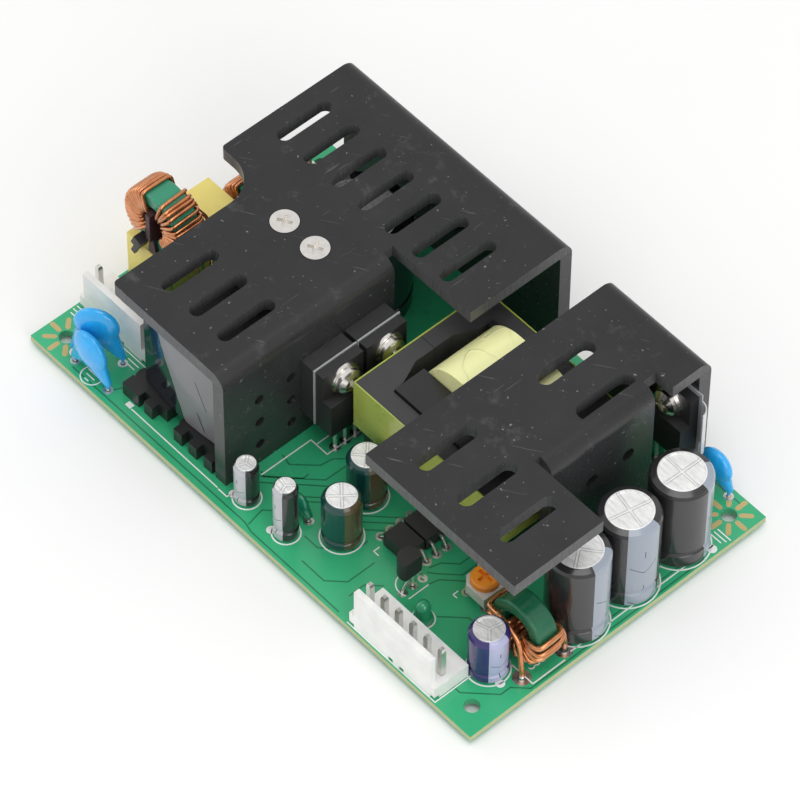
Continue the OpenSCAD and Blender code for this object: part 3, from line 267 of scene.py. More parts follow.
def solder_mask(name, colour, sawn):
    """Green lacquer; where sawn, the outline of the board shows the laminate."""
    green = Finish(name, colour, 0.3, Coat_Weight=0.2, Coat_Roughness=0.15)
    at = green.place()
    x, y, z = green.split(at)
    cloud = green.noise(at, 0.06, 3.0)
    weave = green.node("ShaderNodeTexChecker", {}, Vector=at, Scale=1.4, out=1)
    lacquer = green.blend(cloud, shade(colour, 0.82), shade(colour, 1.18))
    rough = green.spread(cloud, 0.3, 0.7, 0.26, 0.36)
    if sawn:
        border = (abs(x) > board_high.x - 0.12).math("MAXIMUM", abs(y) > board_high.y - 0.12)
        core = abs(z - TOP / 2) < TOP / 2 - 0.16
        edge = green.blend(green.noise(at, 1.5), (0.50, 0.48, 0.27), (0.38, 0.44, 0.20))
        lacquer = green.blend(border * core, lacquer, edge)
        rough = rough + border * 0.3
    green.set(**{
        "Base Color": lacquer,
        "Roughness": rough,
        "Normal": green.bump(weave * 0.2 + green.noise(at, 0.6), 0.02),
    })
    return green


dress(solder_mask("green_mask", MASK, True), "circuit_board")

# %% [markdown]
# ## Sleeved capacitors
# An electrolytic capacitor is an aluminium can in a shrunk plastic sleeve. The sleeve leaves the
# scored top bare and carries a pale stripe beside its negative lead. Everything follows from the
# distance to the can's own axis, its height and the angle round it, so one function makes all
# nine from their boxes. The vent scores are the lines nearest to each of three or four spokes.

# %% Sleeve finish
TOP_SHARE = 0.74
TIN = (0.80, 0.79, 0.76)


def sleeve(name, colour, stripe, stripe_turn, spokes, spoke_turn, width=1.15, top_darker_by=0.0):
    low, high = corners(name)
    radius = (high.x - low.x) / 2
    centre = (*middle(name).xy, 0.0)
    can = Finish("sleeve_" + name, colour, 0.22, 0.0, Coat_Roughness=0.1)
    at = can.place(centre)
    x, y, z = can.split(at)
    reach = (x * x + y * y) ** 0.5
    top = (reach < radius * TOP_SHARE + 0.1) * (z > high.z - 0.6)
    lead = z < TOP + 0.04
    # The stripe, with a dash and a chevron that repeat up the can.
    across, ahead, _ = can.split(can.place(centre, stripe_turn))
    arc = ahead.math("ARCTAN2", across) * radius
    band = (abs(arc) < radius * width / 2) * (1 - top)
    part = ((z - low.z) / ((high.z - low.z) / 2.4)).math("FRACT")
    dash = (abs(arc) < 0.13) * (abs(part - 0.75) < 0.09)
    chevron = (abs(part - 0.22 - abs(arc) * 0.07) < 0.014) * (abs(arc) < radius * width * 0.42)
    marks = dash.math("MAXIMUM", chevron) * band * (z < high.z - 2.0)
    # The scored top, painted with a highlight along each score and with shade on both sides of it.
    sweep = 2 * math.pi / spokes
    angle = y.math("ARCTAN2", x) - math.radians(spoke_turn)
    off_spoke = angle - (angle / sweep).math("ROUND") * sweep
    line = abs(off_spoke.math("SINE")) * reach
    score_with_highlight = (line < 0.13) * top * (reach < radius * (TOP_SHARE - 0.04))
    rim = can.spread(abs(line - 0.28), 0.0, 0.14, 1.0, 0.0) * top * (reach < radius * TOP_SHARE)
    cloud = can.noise(at, 0.35, 4.0)
    shrink = can.noise(can.stretch(at, (1.0, 1.0, 0.2)), 0.5, 2.0)
    grey = can.spread(can.noise(can.stretch(at, (0.6, 2.0, 1.0)), 0.6, 5.0, 0.7), 0.4, 0.7)
    printed = can.blend(marks * 0.8, can.blend(band, colour, stripe), (0.05, 0.06, 0.09))
    # The darker tone of the bare top is lowered further by the last argument, which two of the cans use.
    bare = can.blend(grey, (0.94, 0.94, 0.93), (0.70 - top_darker_by, 0.70 - top_darker_by, 0.70 - top_darker_by))
    # Each score line is painted lighter and the band beside it darker: a painted highlight and painted shade on the
    # groove.
    bare = can.blend(rim * 0.55, can.blend(score_with_highlight * 0.7, bare, (0.95, 0.95, 0.95)), (0.22, 0.22, 0.22))
    can.set(**{
        "Base Color": can.blend(lead, can.blend(top, printed, bare), TIN),
        "Metallic": top * 0.45 + lead * 0.9,
        "Roughness": can.spread(cloud, 0.3, 0.7, 0.18, 0.27) + top * 0.22,
        "Coat Weight": (1 - top) * 0.4,
        "Normal": can.bump(shrink * 0.3 - score_with_highlight * 1.2 + rim * 0.4 + can.noise(at, 1.6) * 0.12, 0.09),
    })
    dress(can, name)


BLACK, BLUE_GREY = (0.022, 0.021, 0.023), (0.29, 0.33, 0.39)
GREEN, BRONZE = (0.006, 0.050, 0.044), (0.085, 0.062, 0.030)
VIOLET, LILAC = (0.030, 0.020, 0.13), (0.40, 0.41, 0.60)
GREY = (0.46, 0.47, 0.50)
sleeve("output_capacitor_1", BLACK, BLUE_GREY, 42, 4, -2)
sleeve("output_capacitor_2", BLACK, BLUE_GREY, -13, 4, -12)
sleeve("output_capacitor_3", BLACK, BLUE_GREY, 19, 4, 38)
sleeve("feedback_capacitor", VIOLET, LILAC, -9, 3, -42, 1.15, 0.12)
sleeve("driver_capacitor_1", GREEN, BRONZE, -1, 4, 50)
sleeve("driver_capacitor_2", GREEN, BRONZE, -1, 4, 45)
sleeve("small_capacitor_1", BLACK, GREY, -88, 3, 10, 1.5)
sleeve("small_capacitor_2", BLACK, GREY, -94, 3, 50, 1.3, 0.2)
sleeve("bulk_capacitor", (0.014, 0.015, 0.022), (0.30, 0.32, 0.36), 180, 3, 0)

# %% [markdown]
# ## Moulded parts
# Semiconductor bodies are matt black epoxy with tinned legs, headers are slightly waxy nylon,
# and bobbins, boxes and sleeves are other plastics. They differ in colour, sheen and grain, so
# they share one recipe. Legs belong to the same solid as the body, and their mask is a height:
# by default everything below the board's top face is a tinned lead.

# %% One recipe for mouldings
def moulding(name, colour, rough, *targets, grain=1.5, depth=0.02, tin_below=TOP, bare=None, **fixed):
    made = Finish(name, colour, rough, 0.0, **fixed)
    at = made.place()
    cloud = made.noise(at, 0.25, 3.0)
    skin = made.blend(cloud, shade(colour, 0.88), shade(colour, 1.22))
    gloss = made.spread(cloud, 0.3, 0.7, rough - 0.05, rough + 0.07)
    tinned = made.split(at)[2] < tin_below
    if bare:
        tinned = tinned.math("MAXIMUM", bare(made))
    made.set(**{
        "Base Color": made.blend(tinned, skin, TIN),
        "Metallic": tinned * 0.95,
        "Roughness": gloss * (1 - tinned * 0.45),
        "Normal": made.bump(made.noise(at, grain, 4.0), depth),
    })
    dress(made, *targets)
    return made


# %% Black epoxy
EPOXY = (0.020, 0.020, 0.021)
PACKAGE = 15.9
for name in ("power_transistor_1", "power_transistor_2", "output_rectifier_1", "output_rectifier_2"):
    moulding("epoxy_" + name, EPOXY, 0.5, name, grain=3.0, tin_below=corners(name)[1].z - PACKAGE)
moulding("epoxy_bridge", EPOXY, 0.5, "bridge_rectifier", tin_below=corners("bridge_rectifier")[1].z - 18)
moulding("epoxy_small", EPOXY, 0.5, "signal_transistor", tin_below=corners("signal_transistor")[1].z - 4.8)
moulding("epoxy_chips", EPOXY, 0.6, "surface_mount_parts", tin_below=-9)


def opto_legs(name):
    """A mask for the bent legs at both ends of a small package."""
    def mask(made):
        x, y, z = made.split(made.place(middle(name)))
        return abs(x) > 3.25
    return mask


for name in ("optocoupler_1", "optocoupler_2"):
    moulding("epoxy_" + name, EPOXY, 0.5, name, grain=3.0, bare=opto_legs(name))

# %% Other plastics
moulding("insulator_grey", (0.028, 0.028, 0.029), 0.5, "insulator_blocks")
moulding("silicone_grey", (0.36, 0.37, 0.38), 0.45, "thermal_pads")
moulding("nylon_white", (0.80, 0.80, 0.78), 0.36, "input_header", "output_header", grain=0.8, depth=0.03,
         tin_below=-9, Subsurface_Weight=0.12, Subsurface_Scale=0.001)
moulding("box_yellow", (0.92, 0.72, 0.20), 0.40, "x_capacitor")
moulding("ceramic_tan", (0.55, 0.48, 0.38), 0.5, "fuse")
moulding("dip_red", (0.24, 0.03, 0.028), 0.25, "varistor")
moulding("sleeve_brown", (0.045, 0.014, 0.018), 0.5, "input_choke_divider")
moulding("tie_black", (0.012, 0.012, 0.013), 0.4, "input_choke_tie")
moulding("trimmer_grey", (0.60, 0.59, 0.54), 0.45, "trimmer_base")
moulding("dial_orange", (0.80, 0.26, 0.02), 0.34, "trimmer_dial")
moulding("ferrite", (0.040, 0.040, 0.042), 0.44, "transformer_core_1", "transformer_core_2", "boost_core",
         grain=2.5, depth=0.04)
moulding("bobbin_black", (0.015, 0.015, 0.016), 0.34, "transformer_bobbin", "boost_bobbin", grain=1.0)
moulding("core_green", (0.030, 0.24, 0.14), 0.26, "input_choke_core", "filter_choke_core", grain=0.8, depth=0.06)
moulding("core_dark_green", (0.010, 0.115, 0.055), 0.26, "output_inductor_core", grain=0.8, depth=0.06)

# %% [markdown]
# ## Dipped lacquers, tapes and metals
# The disc capacitors are dipped in blue lacquer, which runs a little and dries glossy: a low
# roughness with a soft, wide bump does it. Polyester tape wrinkles more sharply, so its bump
# takes the fold lines where a noise crosses its middle value. Screws and pins are bare metal.

# %% Dips
def dipped(name, colour, *targets):
    made = Finish(name, colour, 0.14, 0.0, Coat_Weight=0.5, Coat_Roughness=0.08)
    at = made.place()
    bare = made.split(at)[2] < TOP + 0.6
    runs = made.noise(made.stretch(at, (1, 1, 0.5)), 0.5, 3.0)
    made.set(**{
        "Base Color": made.blend(bare, made.blend(runs, shade(colour, 0.85), shade(colour, 1.25)), TIN),
        "Metallic": bare * 0.9,
        "Roughness": made.spread(runs, 0.3, 0.7, 0.12, 0.20) + bare * 0.2,
        "Normal": made.bump(runs + made.noise(at, 2.0) * 0.1, 0.15),
    })
    dress(made, *targets)


dipped("dip_blue", (0.018, 0.37, 0.80), "y_capacitor_1", "y_capacitor_2", "y_capacitor_3")
dipped("dip_green", (0.01, 0.20, 0.11), "ceramic_capacitor")

# %% Tape and film
def wrapped(name, colour, rough, wrinkle, scale, *targets, **fixed):
    made = Finish(name, colour, rough, 0.0, Coat_Weight=0.25, Coat_Roughness=0.15, **fixed)
    at = made.place()
    fold = made.noise(made.stretch(at, (1.0, 0.5, 0.7)), scale, 2.0)
    crease = made.spread(abs(made.noise(at, scale * 0.8, 1.0) - 0.5), 0.0, 0.03, 1.0, 0.0)
    made.set(**{
        "Base Color": made.blend(fold, shade(colour, 0.8), shade(colour, 1.05)),
        "Roughness": made.spread(fold, 0.3, 0.7, rough - 0.05, rough + 0.08),
        "Normal": made.bump(fold + crease * 0.25, wrinkle),
    })
    dress(made, *targets)
    return made


wrapped("tape_green", (0.43, 0.50, 0.095), 0.3, 0.10, 0.18, "transformer_tape")
wrapped("tape_pale", (0.95, 0.96, 0.47), 0.34, 0.45, 0.16, "transformer_winding", "boost_winding")


def film():
    """Glossy black sheet with slits; past a slanted crease it is painted greyer, a painted sheen."""
    made = Finish("film_black", (0.01, 0.01, 0.013), 0.16, 0.0, Coat_Weight=0.3, Coat_Roughness=0.06)
    low, high = corners("insulating_film")
    at = made.place((low.x, 0, high.z))
    x, y, z = made.split(at)
    crease = x + z * 0.42 - 2.2
    pale = made.spread(crease + made.noise(at, 0.3) * 0.8, 0.35, 0.7)
    slit = (abs(crease - 9.5) < 0.16) * (abs(z + 14) < 3.4)
    slit = slit.math("MAXIMUM", (abs(crease - 6.0) < 0.16) * (abs(z + 22) < 2.2))
    cloud = made.noise(made.stretch(at, (1, 1, 0.4)), 0.12, 2.0)
    made.set(**{
        # The greyer part past the crease is a painted sheen on the black sheet; the slits are drawn nearly black.
        "Base Color": made.blend(slit, made.blend(pale * (0.7 + cloud * 0.6), (0.008, 0.009, 0.014), (0.17, 0.165, 0.18)),
                                 (0.004, 0.004, 0.005)),
        "Roughness": made.spread(pale, 0.0, 1.0, 0.10, 0.34),
        "Normal": made.bump(cloud + pale * 0.3 - slit, 0.5),
    })
    dress(made, "insulating_film")


film()

# %% Metal and lamp
def metal(name, colour, rough, *targets):
    made = Finish(name, colour, rough, 1.0)
    at = made.place()
    cloud = made.noise(at, 0.8, 4.0)
    made.set(**{
        "Base Color": made.blend(cloud, shade(colour, 0.8), shade(colour, 1.05)),
        "Roughness": made.spread(cloud, 0.3, 0.7, rough * 0.8, rough * 1.3),
        "Normal": made.bump(made.noise(at, 3.0), 0.01),
    })
    dress(made, *targets)
    return made


metal("nickel", (0.94, 0.91, 0.87), 0.20, "countersunk_screws", "pan_head_screws", "screw_washers")
tin = metal("tin", TIN, 0.32, "input_pins", "output_pins")
metal("plain_sheet", (0.60, 0.60, 0.61), 0.35, "rectifier_bracket")
lamp = moulding("lamp_green", (0.03, 0.40, 0.19), 0.14, "indicator_led", tin_below=TOP + 0.04,
                Coat_Weight=0.5, Transmission_Weight=0.3)

# %% [markdown]
# ## Helpers for new pieces
# A new piece starts as a bmesh, gets its normals recalculated, and rides on the supply. A bar
# is a cube stretched between two points; a ring is a small rectangle spun round an axis. The
# full ring spins only the rectangle's edges, so that no face is left inside it.

# %% Piece helpers
def keep(name, bm, finish, smooth=False):
    bmesh.ops.recalc_face_normals(bm, faces=bm.faces)
    mesh = bpy.data.meshes.new(name)
    bm.to_mesh(mesh)
    bm.free()
    mesh.polygons.foreach_set("use_smooth", [smooth] * len(mesh.polygons))
    mesh.materials.append(finish.material)
    made = bpy.data.objects.new(name, mesh)
    bpy.context.scene.collection.objects.link(made)
    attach(made, "supply")
    print(name, len(mesh.polygons), "faces")
    return made


def bar(bm, start, end, width, low, high):
    """A flat bar between two points on the board, from one height to another."""
    a, b = Vector(start), Vector(end)
    run = b - a
    turn = Matrix.Rotation(math.atan2(run.y, run.x), 4, "Z")
    size = Matrix.Diagonal((run.length * MM, width * MM, (high - low) * MM, 1))
    mid = Vector(((a.x + b.x) / 2, (a.y + b.y) / 2, (low + high) / 2)) * MM
    bmesh.ops.create_cube(bm, size=1.0, matrix=Matrix.Translation(mid) @ turn @ size)


def cone(bm, at, r_low, r_high, low, high, sides=16):
    mid = Vector((at[0], at[1], (low + high) / 2)) * MM
    bmesh.ops.create_cone(bm, cap_ends=True, segments=sides, radius1=r_low * MM, radius2=r_high * MM,
                          depth=(high - low) * MM, matrix=Matrix.Translation(mid))


def ring(bm, at, radius, width, low, high, start=0.0, sweep=360.0, steps=36):
    """A flat ring or arc of a given mean radius."""
    turn = Matrix.Rotation(math.radians(start), 4, "Z")
    mid = Vector((at[0], at[1], 0)) * MM
    inner, outer = radius - width / 2, radius + width / 2
    section = [(inner, low), (outer, low), (outer, high), (inner, high)]
    made = [bm.verts.new(mid + turn @ Vector((r, 0, z)) * MM) for r, z in section]
    full = sweep >= 360
    if full:
        geometry = made + [bm.edges.new(pair) for pair in zip(made, made[1:] + made[:1])]
    else:
        face = bm.faces.new(made)
        geometry = [face, *face.edges, *made]
    bmesh.ops.spin(bm, geom=geometry, cent=mid, axis=(0, 0, 1), angle=math.radians(sweep), steps=steps,
                   use_merge=full)


HAIR = 0.002


def path(bm, points, width, low, high):
    """Bars from point to point; the round corners are a hair thinner, so no two faces coincide."""
    for start, end in zip(points, points[1:]):
        bar(bm, start, end, width, low, high)
    for point in points:
        cone(bm, point, width / 2, width / 2, low + HAIR, high - HAIR, 8)


# %% [markdown]
# ## Leads, pads and solder
# Every lead goes through the board and is soldered underneath. The frame says where: a lead's
# tip is a small patch of faces at the lowest height of its node. Grouping the triangles that
# share a corner there gives each tip's centre and radius, with nothing typed in by hand. Each
# one gets a tinned ring on top and a cone of solder below.

# %% Find the lead tips
def lead_tips(name):
    """(x, y, radius) in millimetres of each lead that a node sends through the board."""
    mesh = nodes[name].data
    lowest = min(vertex.co.z for vertex in mesh.vertices) / MM
    groups = []
    for face in mesh.polygons:
        spots = {tuple(round(part / MM, 2) for part in mesh.vertices[i].co) for i in face.vertices}
        if all(spot[2] < lowest + 0.05 for spot in spots):
            joined = spots.union(*[group for group in groups if group & spots])
            groups = [group for group in groups if not group & spots] + [joined]
    tips = []
    for group in groups:
        xs, ys = [spot[0] for spot in group], [spot[1] for spot in group]
        tips.append(((min(xs) + max(xs)) / 2, (min(ys) + max(ys)) / 2, (max(xs) - min(xs)) / 2))
    return sorted(tips)


NO_LEADS = ("circuit_board", "surface_mount_parts", "primary_heatsink", "secondary_heatsink")
leads = {name: lead_tips(name) for name in nodes if name not in NO_LEADS and corners(name)[0].z < -1}
print(sum(len(tips) for tips in leads.values()), "leads of", len(leads), "nodes")

# %% Pads on top, solder below
HOLE_GAP = 0.15
LEAD_OUT = -min(corners("input_pins")[0].z, 0)
pads, joints = bmesh.new(), bmesh.new()
for name, tips in leads.items():
    for x, y, r in tips:
        wide = 1.15 if name == "output_inductor_winding" else 0.55
        ring(pads, (x, y), r + HOLE_GAP + wide / 2, wide, TOP - 0.01, TOP + 0.03, steps=24)
        cone(joints, (x, y), r + 0.12, r + 0.95, -0.9, 0.0)
        cone(joints, (x, y), r + 0.02, r + 0.12, -LEAD_OUT + 0.05, -0.88)
keep("lead_pads", pads, tin)
keep("solder_joints", joints, tin, smooth=True)

# %% [markdown]
# ## Copper areas
# On the top side the copper fills nearly everything, and thin etched gaps part one net from
# the next: they show as darker lines in the lacquer. Underneath, tracks link neighbouring
# leads. The gaps are a drawn layout; the tracks underneath find their own way by joining each
# lead to the nearest one of another part, with one bend of 45 degrees.

# %% Etched gaps on top
dark_mask = solder_mask("gap_mask", shade(MASK, 0.42), False)
pale_mask = solder_mask("track_mask", shade(MASK, 1.35), False)
GAP_W = 0.32
gaps = bmesh.new()
TOP_GAPS = [
    [(-8.8, -20.8), (-6.2, -21.3), (-2.1, -17.0), (-1.7, -14.2), (0.4, -11.8), (6, -6.2)],
    [(-8.6, -26.4), (-7.2, -26.9), (1.2, -18.6), (1.3, -13.6), (6.6, -8.2)],
    [(-8.4, -27.8), (-2.0, -21.6), (-2.0, -20.2)],
    [(-7.6, -29.2), (0.2, -21.6), (4.2, -17.8)],
    [(-0.7, -36.4), (-1.5, -32.4), (1.6, -29.2), (1.6, -24.2), (5.6, -20.2)],
    [(2.8, -24.6), (6.6, -20.8)],
    [(12.3, -19.0), (20.5, -10.8)],
    [(13.4, -19.9), (21.4, -11.9)],
    [(14.8, -21.1), (19.4, -16.5)],
    [(8.6, -30.4), (12.2, -30.4), (17.4, -25.2), (17.4, -22.4)],
    [(29.8, -17.7), (30.4, -15.4), (33.0, -12.8), (33.0, -8.6)],
    [(30.4, -18.7), (31.8, -17.6), (35.2, -14.2), (35.2, -8.6)],
    [(32.6, -20.2), (33.1, -18.2), (36.8, -14.6)],
    [(39.2, -24.2), (43.4, -20.0), (47.5, -20.0)],
    [(-52.0, -37.0), (-1.6, -36.7), (1.0, -37.3), (26.0, -37.3)],
    [(-43.0, -35.9), (-41.4, -32.6)],
    [(-55.0, -31.4), (-53.4, -29.8), (-53.4, -28.6)],
    [(50.2, -32.8), (54.8, -32.8), (60.2, -27.4), (60.2, -25.0), (62.9, -22.3)],
    [(62.9, -22.3), (62.9, 22.0), (60.4, 25.6), (52.0, 25.6)],
    [(55.0, -10.6), (58.6, -10.6), (61.0, -8.2), (61.0, 24.4)],
    [(12.6, -34.6), (18.8, -34.6), (22.0, -31.4), (22.0, -24.8)],
    [(24.6, -33.4), (24.6, -29.6), (27.2, -27.0)],
    [(-58, 17), (-58, 32), (-50, 36.6), (-20, 36.6)],
    [(-62, -21), (-62, 14), (-60, 16), (-60, 27)],
    [(12, 26), (18, 32), (18, 36.6), (58, 36.6)],
]
for line in TOP_GAPS:
    path(gaps, line, GAP_W, TOP - 0.01, TOP + 0.006)
keep("etched_gaps", gaps, dark_mask)

# %% Tracks underneath
REACH = 16.0
under = bmesh.new()
places = [(x, y, name) for name, tips in leads.items() for x, y, r in tips]
links = set()
for i, (x, y, name) in enumerate(places):
    others = [(math.hypot(u - x, v - y), j) for j, (u, v, other) in enumerate(places) if other != name]
    distance, j = min(others)
    if distance < REACH:
        links.add((min(i, j), max(i, j)))
for i, j in sorted(links):
    (ax, ay, _), (bx, by, _) = places[i], places[j]
    dx, dy = bx - ax, by - ay
    slant = min(abs(dx), abs(dy))
    bend = (ax + math.copysign(slant, dx), ay + math.copysign(slant, dy))
    path(under, [(ax, ay), bend, (bx, by)] if slant > 0.3 else [(ax, ay), (bx, by)], 1.3, -0.02, 0.01)
keep("tracks_underneath", under, pale_mask)

# %% [markdown]
# ## White legend and tan petals
# The legend is thick white ink: outlines of parts, rings round the cans with a filled mark at
# the negative side, and groups of short lines at two corners. Letters and numbers are left out.
# Round two mounting holes the lacquer leaves eight tan petals open. Bars and rings a few
# hundredths of a millimetre high keep the ink's slight thickness.

# %% Ink
ink = moulding("legend_white", (0.82, 0.84, 0.82), 0.5, tin_below=-9)
INK_TOP = TOP + 0.035
LINE_W = 0.26
legend = bmesh.new()
LEGEND_LINES = [
    [(-36.5, -35.2), (-11.3, -35.2)],
    [(-10.8, -35.3), (-8.4, -35.3), (-8.2, -34.5)],
    [(-7.9, -26.9), (-7.9, -14.3), (-3.2, -14.3), (-3.2, -3.4), (-7.9, -3.4)],
    [(-6.4, -14.3), (-6.4, -10.8)],
    [(28.9, -37.7), (53.4, -37.7), (53.4, -27.6)],
    [(61.7, -11.0), (61.7, 26.0)],
    [(54.6, -21.3), (62.4, -21.3), (62.4, -13.2)],
    [(21.4, -20.4), (22.9, -20.4)],
    [(19.9, -21.6), (19.9, -23.0), (21.2, -23.0)],
    [(32.6, -25.4), (32.6, -20.6)],
    [(38.4, -18.6), (37.4, -18.6), (37.4, -17.4)],
    [(35.4, -10.4), (36.6, -10.4)],
    [(-63.0, -26.6), (-42.6, -26.6)],
    [(-63.0, -27.6), (-60.0, -27.6)],
    [(-62.6, -28.6), (-60.4, -28.6)],
    [(-46.4, -27.6), (-43.4, -27.6)],
    [(-45.4, -28.6), (-43.6, -28.6)],
    [(59.6, 27.4), (62.2, 27.4)],
    [(59.6, 28.3), (62.7, 28.3)],
    [(59.6, 29.2), (63.0, 29.2)],
    [(-49.6, -35.0), (-46.2, -35.0)],
    [(-49.0, -36.0), (-46.8, -36.0)],
    [(-48.4, -37.0), (-47.4, -37.0)],
]
for line in LEGEND_LINES:
    path(legend, line, LINE_W, TOP - 0.01, INK_TOP)
for name in ("output_capacitor_1", "output_capacitor_2", "output_capacitor_3", "driver_capacitor_1",
             "driver_capacitor_2", "feedback_capacitor", "small_capacitor_1", "small_capacitor_2"):
    low, high = corners(name)
    ring(legend, middle(name), (high.x - low.x) / 2 + 0.32, 0.3, TOP - 0.01, INK_TOP, steps=48)
for x, y in ((58.3, -25.8), (-8.0, -33.9), (3.2, -34.2), (62.2, 25.2)):
    cone(legend, (x, y), 0.95, 0.95, TOP - 0.01, INK_TOP, 20)
bar(legend, (-38.3, -34.8), (-36.8, -34.8), 1.2, TOP - 0.01, INK_TOP)
ring(legend, (-47.9, -35.6), 2.3, LINE_W, TOP - 0.01, INK_TOP)
ring(legend, (30.3, -22.9), 2.9, LINE_W, TOP - 0.01, INK_TOP, 60, 240)
ring(legend, middle("indicator_led"), 2.3, LINE_W, TOP - 0.01, INK_TOP, -60, 300)
for step in range(3):
    ring(legend, (59.2, -18.8 + 1.3 * step), 0.65, LINE_W, TOP - 0.01, INK_TOP, -90, 270, 16)
keep("white_legend", legend, ink)

# %% Petals
HOLE_INSET = 5.0
tan = moulding("bare_laminate", (0.50, 0.38, 0.16), 0.5, tin_below=-9)
petals = bmesh.new()
for side in (-1, 1):
    hole = Vector((side * (board_high.x - HOLE_INSET), side * (board_high.y - HOLE_INSET)))
    for step in range(8):
        way = Vector((math.cos(step * math.pi / 4), math.sin(step * math.pi / 4)))
        path(petals, [hole + way * 2.4, hole + way * 4.35], 1.05, TOP - 0.01, TOP + 0.012)
keep("corner_petals", petals, tan)

# %% [markdown]
# ## Loose end of a thermal pad
# The pad behind the right rectifier is longer than its package, and its free end curls away
# from the heatsink. It is one strip bent round a quarter circle, so a spun ring piece makes it.

# %% Curled pad
# The loose end is painted paler than the rest of the same pad: a painted highlight where it curls out into the light.
pad_finish = moulding("pad_end_painted_highlight", (0.60, 0.62, 0.64), 0.3, tin_below=-9)
package_low, package_high = corners("output_rectifier_2")
pad_low, pad_high = corners("thermal_pads")
CURL = 2.7
curl = bmesh.new()
ring(curl, (package_high.x + 0.75, pad_high.y - 0.2 - CURL), CURL, 0.25, package_high.z - 13, package_high.z - 0.6,
     5, 85, 12)
keep("curled_pad", curl, pad_finish, smooth=False)

# %% [markdown]
# ## Wound wire
# A winding is one long wire that circles the section of a ring core while it creeps along the
# ring. One turn is a rounded rectangle in polar terms: a superellipse between the bore and the
# rim. Alternate turns dip deeper into the bore, which has less room than the rim. A poly curve
# with a round bevel follows the points and becomes a mesh, because a curve's bevel keeps the
# wire's section square to its run, which hand-placed rings of vertices would not.

# %% Copper and the wire helper
def copper():
    made = Finish("copper_lacquered", (0.62, 0.24, 0.09), 0.2, 0.85, Coat_Weight=0.5, Coat_Roughness=0.08)
    at = made.place()
    cloud = made.noise(at, 0.5, 3.0)
    tip = made.split(at)[2] < TOP + 0.8
    made.set(**{
        "Base Color": made.blend(tip, made.blend(cloud, (0.46, 0.14, 0.045), (0.82, 0.36, 0.15)), TIN),
        "Roughness": made.spread(cloud, 0.3, 0.7, 0.15, 0.25),
        "Normal": made.bump(made.noise(at, 3.0), 0.01),
    })
    return made


COPPER = copper()


def soften(points, reach=1.2):
    """Rounds the corners of a bent wire."""
    points = [Vector(point) for point in points]
    made = [points[0]]
    for a, b, c in zip(points, points[1:], points[2:]):
        into = b + (a - b).normalized() * min(reach, (a - b).length / 2)
        away = b + (c - b).normalized() * min(reach, (c - b).length / 2)
        for step in range(5):
            t = step / 4
            made.append(into * (1 - t) ** 2 + b * (2 * t * (1 - t)) + away * t ** 2)
    return made + [points[-1]]


def wire(name, points, thick, *replaced):
    curve = bpy.data.curves.new(name, "CURVE")
    curve.dimensions = "3D"
    curve.bevel_depth = thick / 2 * MM
    curve.bevel_resolution = 2
    curve.use_fill_caps = True
    line = curve.splines.new("POLY")
    line.points.add(len(points) - 1)
    for knot, point in zip(line.points, points):
        knot.co = (*(Vector(point) * MM), 1)
    maker = bpy.data.objects.new(name + "_maker", curve)
    bpy.context.scene.collection.objects.link(maker)
    drawn = bpy.data.meshes.new_from_object(maker.evaluated_get(bpy.context.evaluated_depsgraph_get()))
    bpy.data.objects.remove(maker)
    bm = bmesh.new()
    bm.from_mesh(drawn)
    bpy.data.meshes.remove(drawn)
    bmesh.ops.remove_doubles(bm, verts=bm.verts, dist=1e-7)
    made = keep(name, bm, COPPER, smooth=True)
    if replaced:
        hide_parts(*replaced)
    return made


# %% Turns round a standing ring
STEPS = 24
AIR = 0.12


def turns(core, bore, thick, start, sweep, count, first, last, jitter=0.0, square=0.30):
    """Points round a ring core; first and last say where on its section the wire begins and ends."""
    low, high = corners(core)
    mid = (low + high) / 2
    rim = (high.x - low.x) / 2 + AIR + thick / 2
    side = (high.y - low.y) / 2 + AIR + thick / 2
    shift = [dice.uniform(-jitter, jitter) for _ in range(count + 3)]
    total = int((count + last - first) * STEPS)
    points = []
    for i in range(total + 1):
        turn = first + i / STEPS
        k, u = int(turn), turn % 1
        phi = 2 * math.pi * u
        deep = bore / 2 - AIR - thick / 2 - (k % 2) * thick * 0.8
        half, centre = (rim - deep) / 2, (rim + deep) / 2
        r = centre - half * math.copysign(abs(math.cos(phi)) ** square, math.cos(phi))
        across = side * math.copysign(abs(math.sin(phi)) ** square, math.sin(phi))
        drift = shift[k] * (1 - u) + shift[k + 1] * u
        angle = math.radians(start + sweep * (i / total) + sweep / count * drift)
        points.append((mid.x + r * math.cos(angle), mid.y - across, mid.z + r * math.sin(angle)))
    return points


# %% Input choke
FINE = 0.82
FRONT, BACK = 0.25, 0.75
mid = middle("input_choke_core")
near, far = leads["input_choke_winding_2"]
if near[1] > far[1]:
    near, far = far, near
coil = turns("input_choke_core", 8.6, FINE, -50, 124, 15, FRONT, BACK, 0.5)
start = soften([(near[0], near[1], -LEAD_OUT), (near[0], near[1], mid.z - 6.5), coil[0]])
end = soften([coil[-1], (mid.x + 3.5, mid.y + 4.9, mid.z + 3), (far[0], far[1] + 0.4, mid.z - 3),
              (far[0], far[1], mid.z - 7), (far[0], far[1], -LEAD_OUT)])
wire("choke_turns_right", start[:-1] + coil + end[1:], FINE, "input_choke_winding_2")

lower, upper = sorted(leads["input_choke_winding_1"], key=lambda tip: tip[1])
coil = turns("input_choke_core", 8.6, FINE, 230, -124, 17, BACK, BACK, 0.12)
start = soften([(lower[0], lower[1], -LEAD_OUT), (lower[0], lower[1], mid.z - 6.2),
                (mid.x - 1.5, mid.y + 4.8, mid.z - 6.0), coil[0]])
end = soften([coil[-1], (mid.x - 2.5, mid.y + 4.9, mid.z + 1), (upper[0] - 1, upper[1], mid.z - 4.4),
              (upper[0], upper[1], mid.z - 6), (upper[0], upper[1], -LEAD_OUT)])
wire("choke_turns_left", start[:-1] + coil + end[1:], FINE, "input_choke_winding_1")

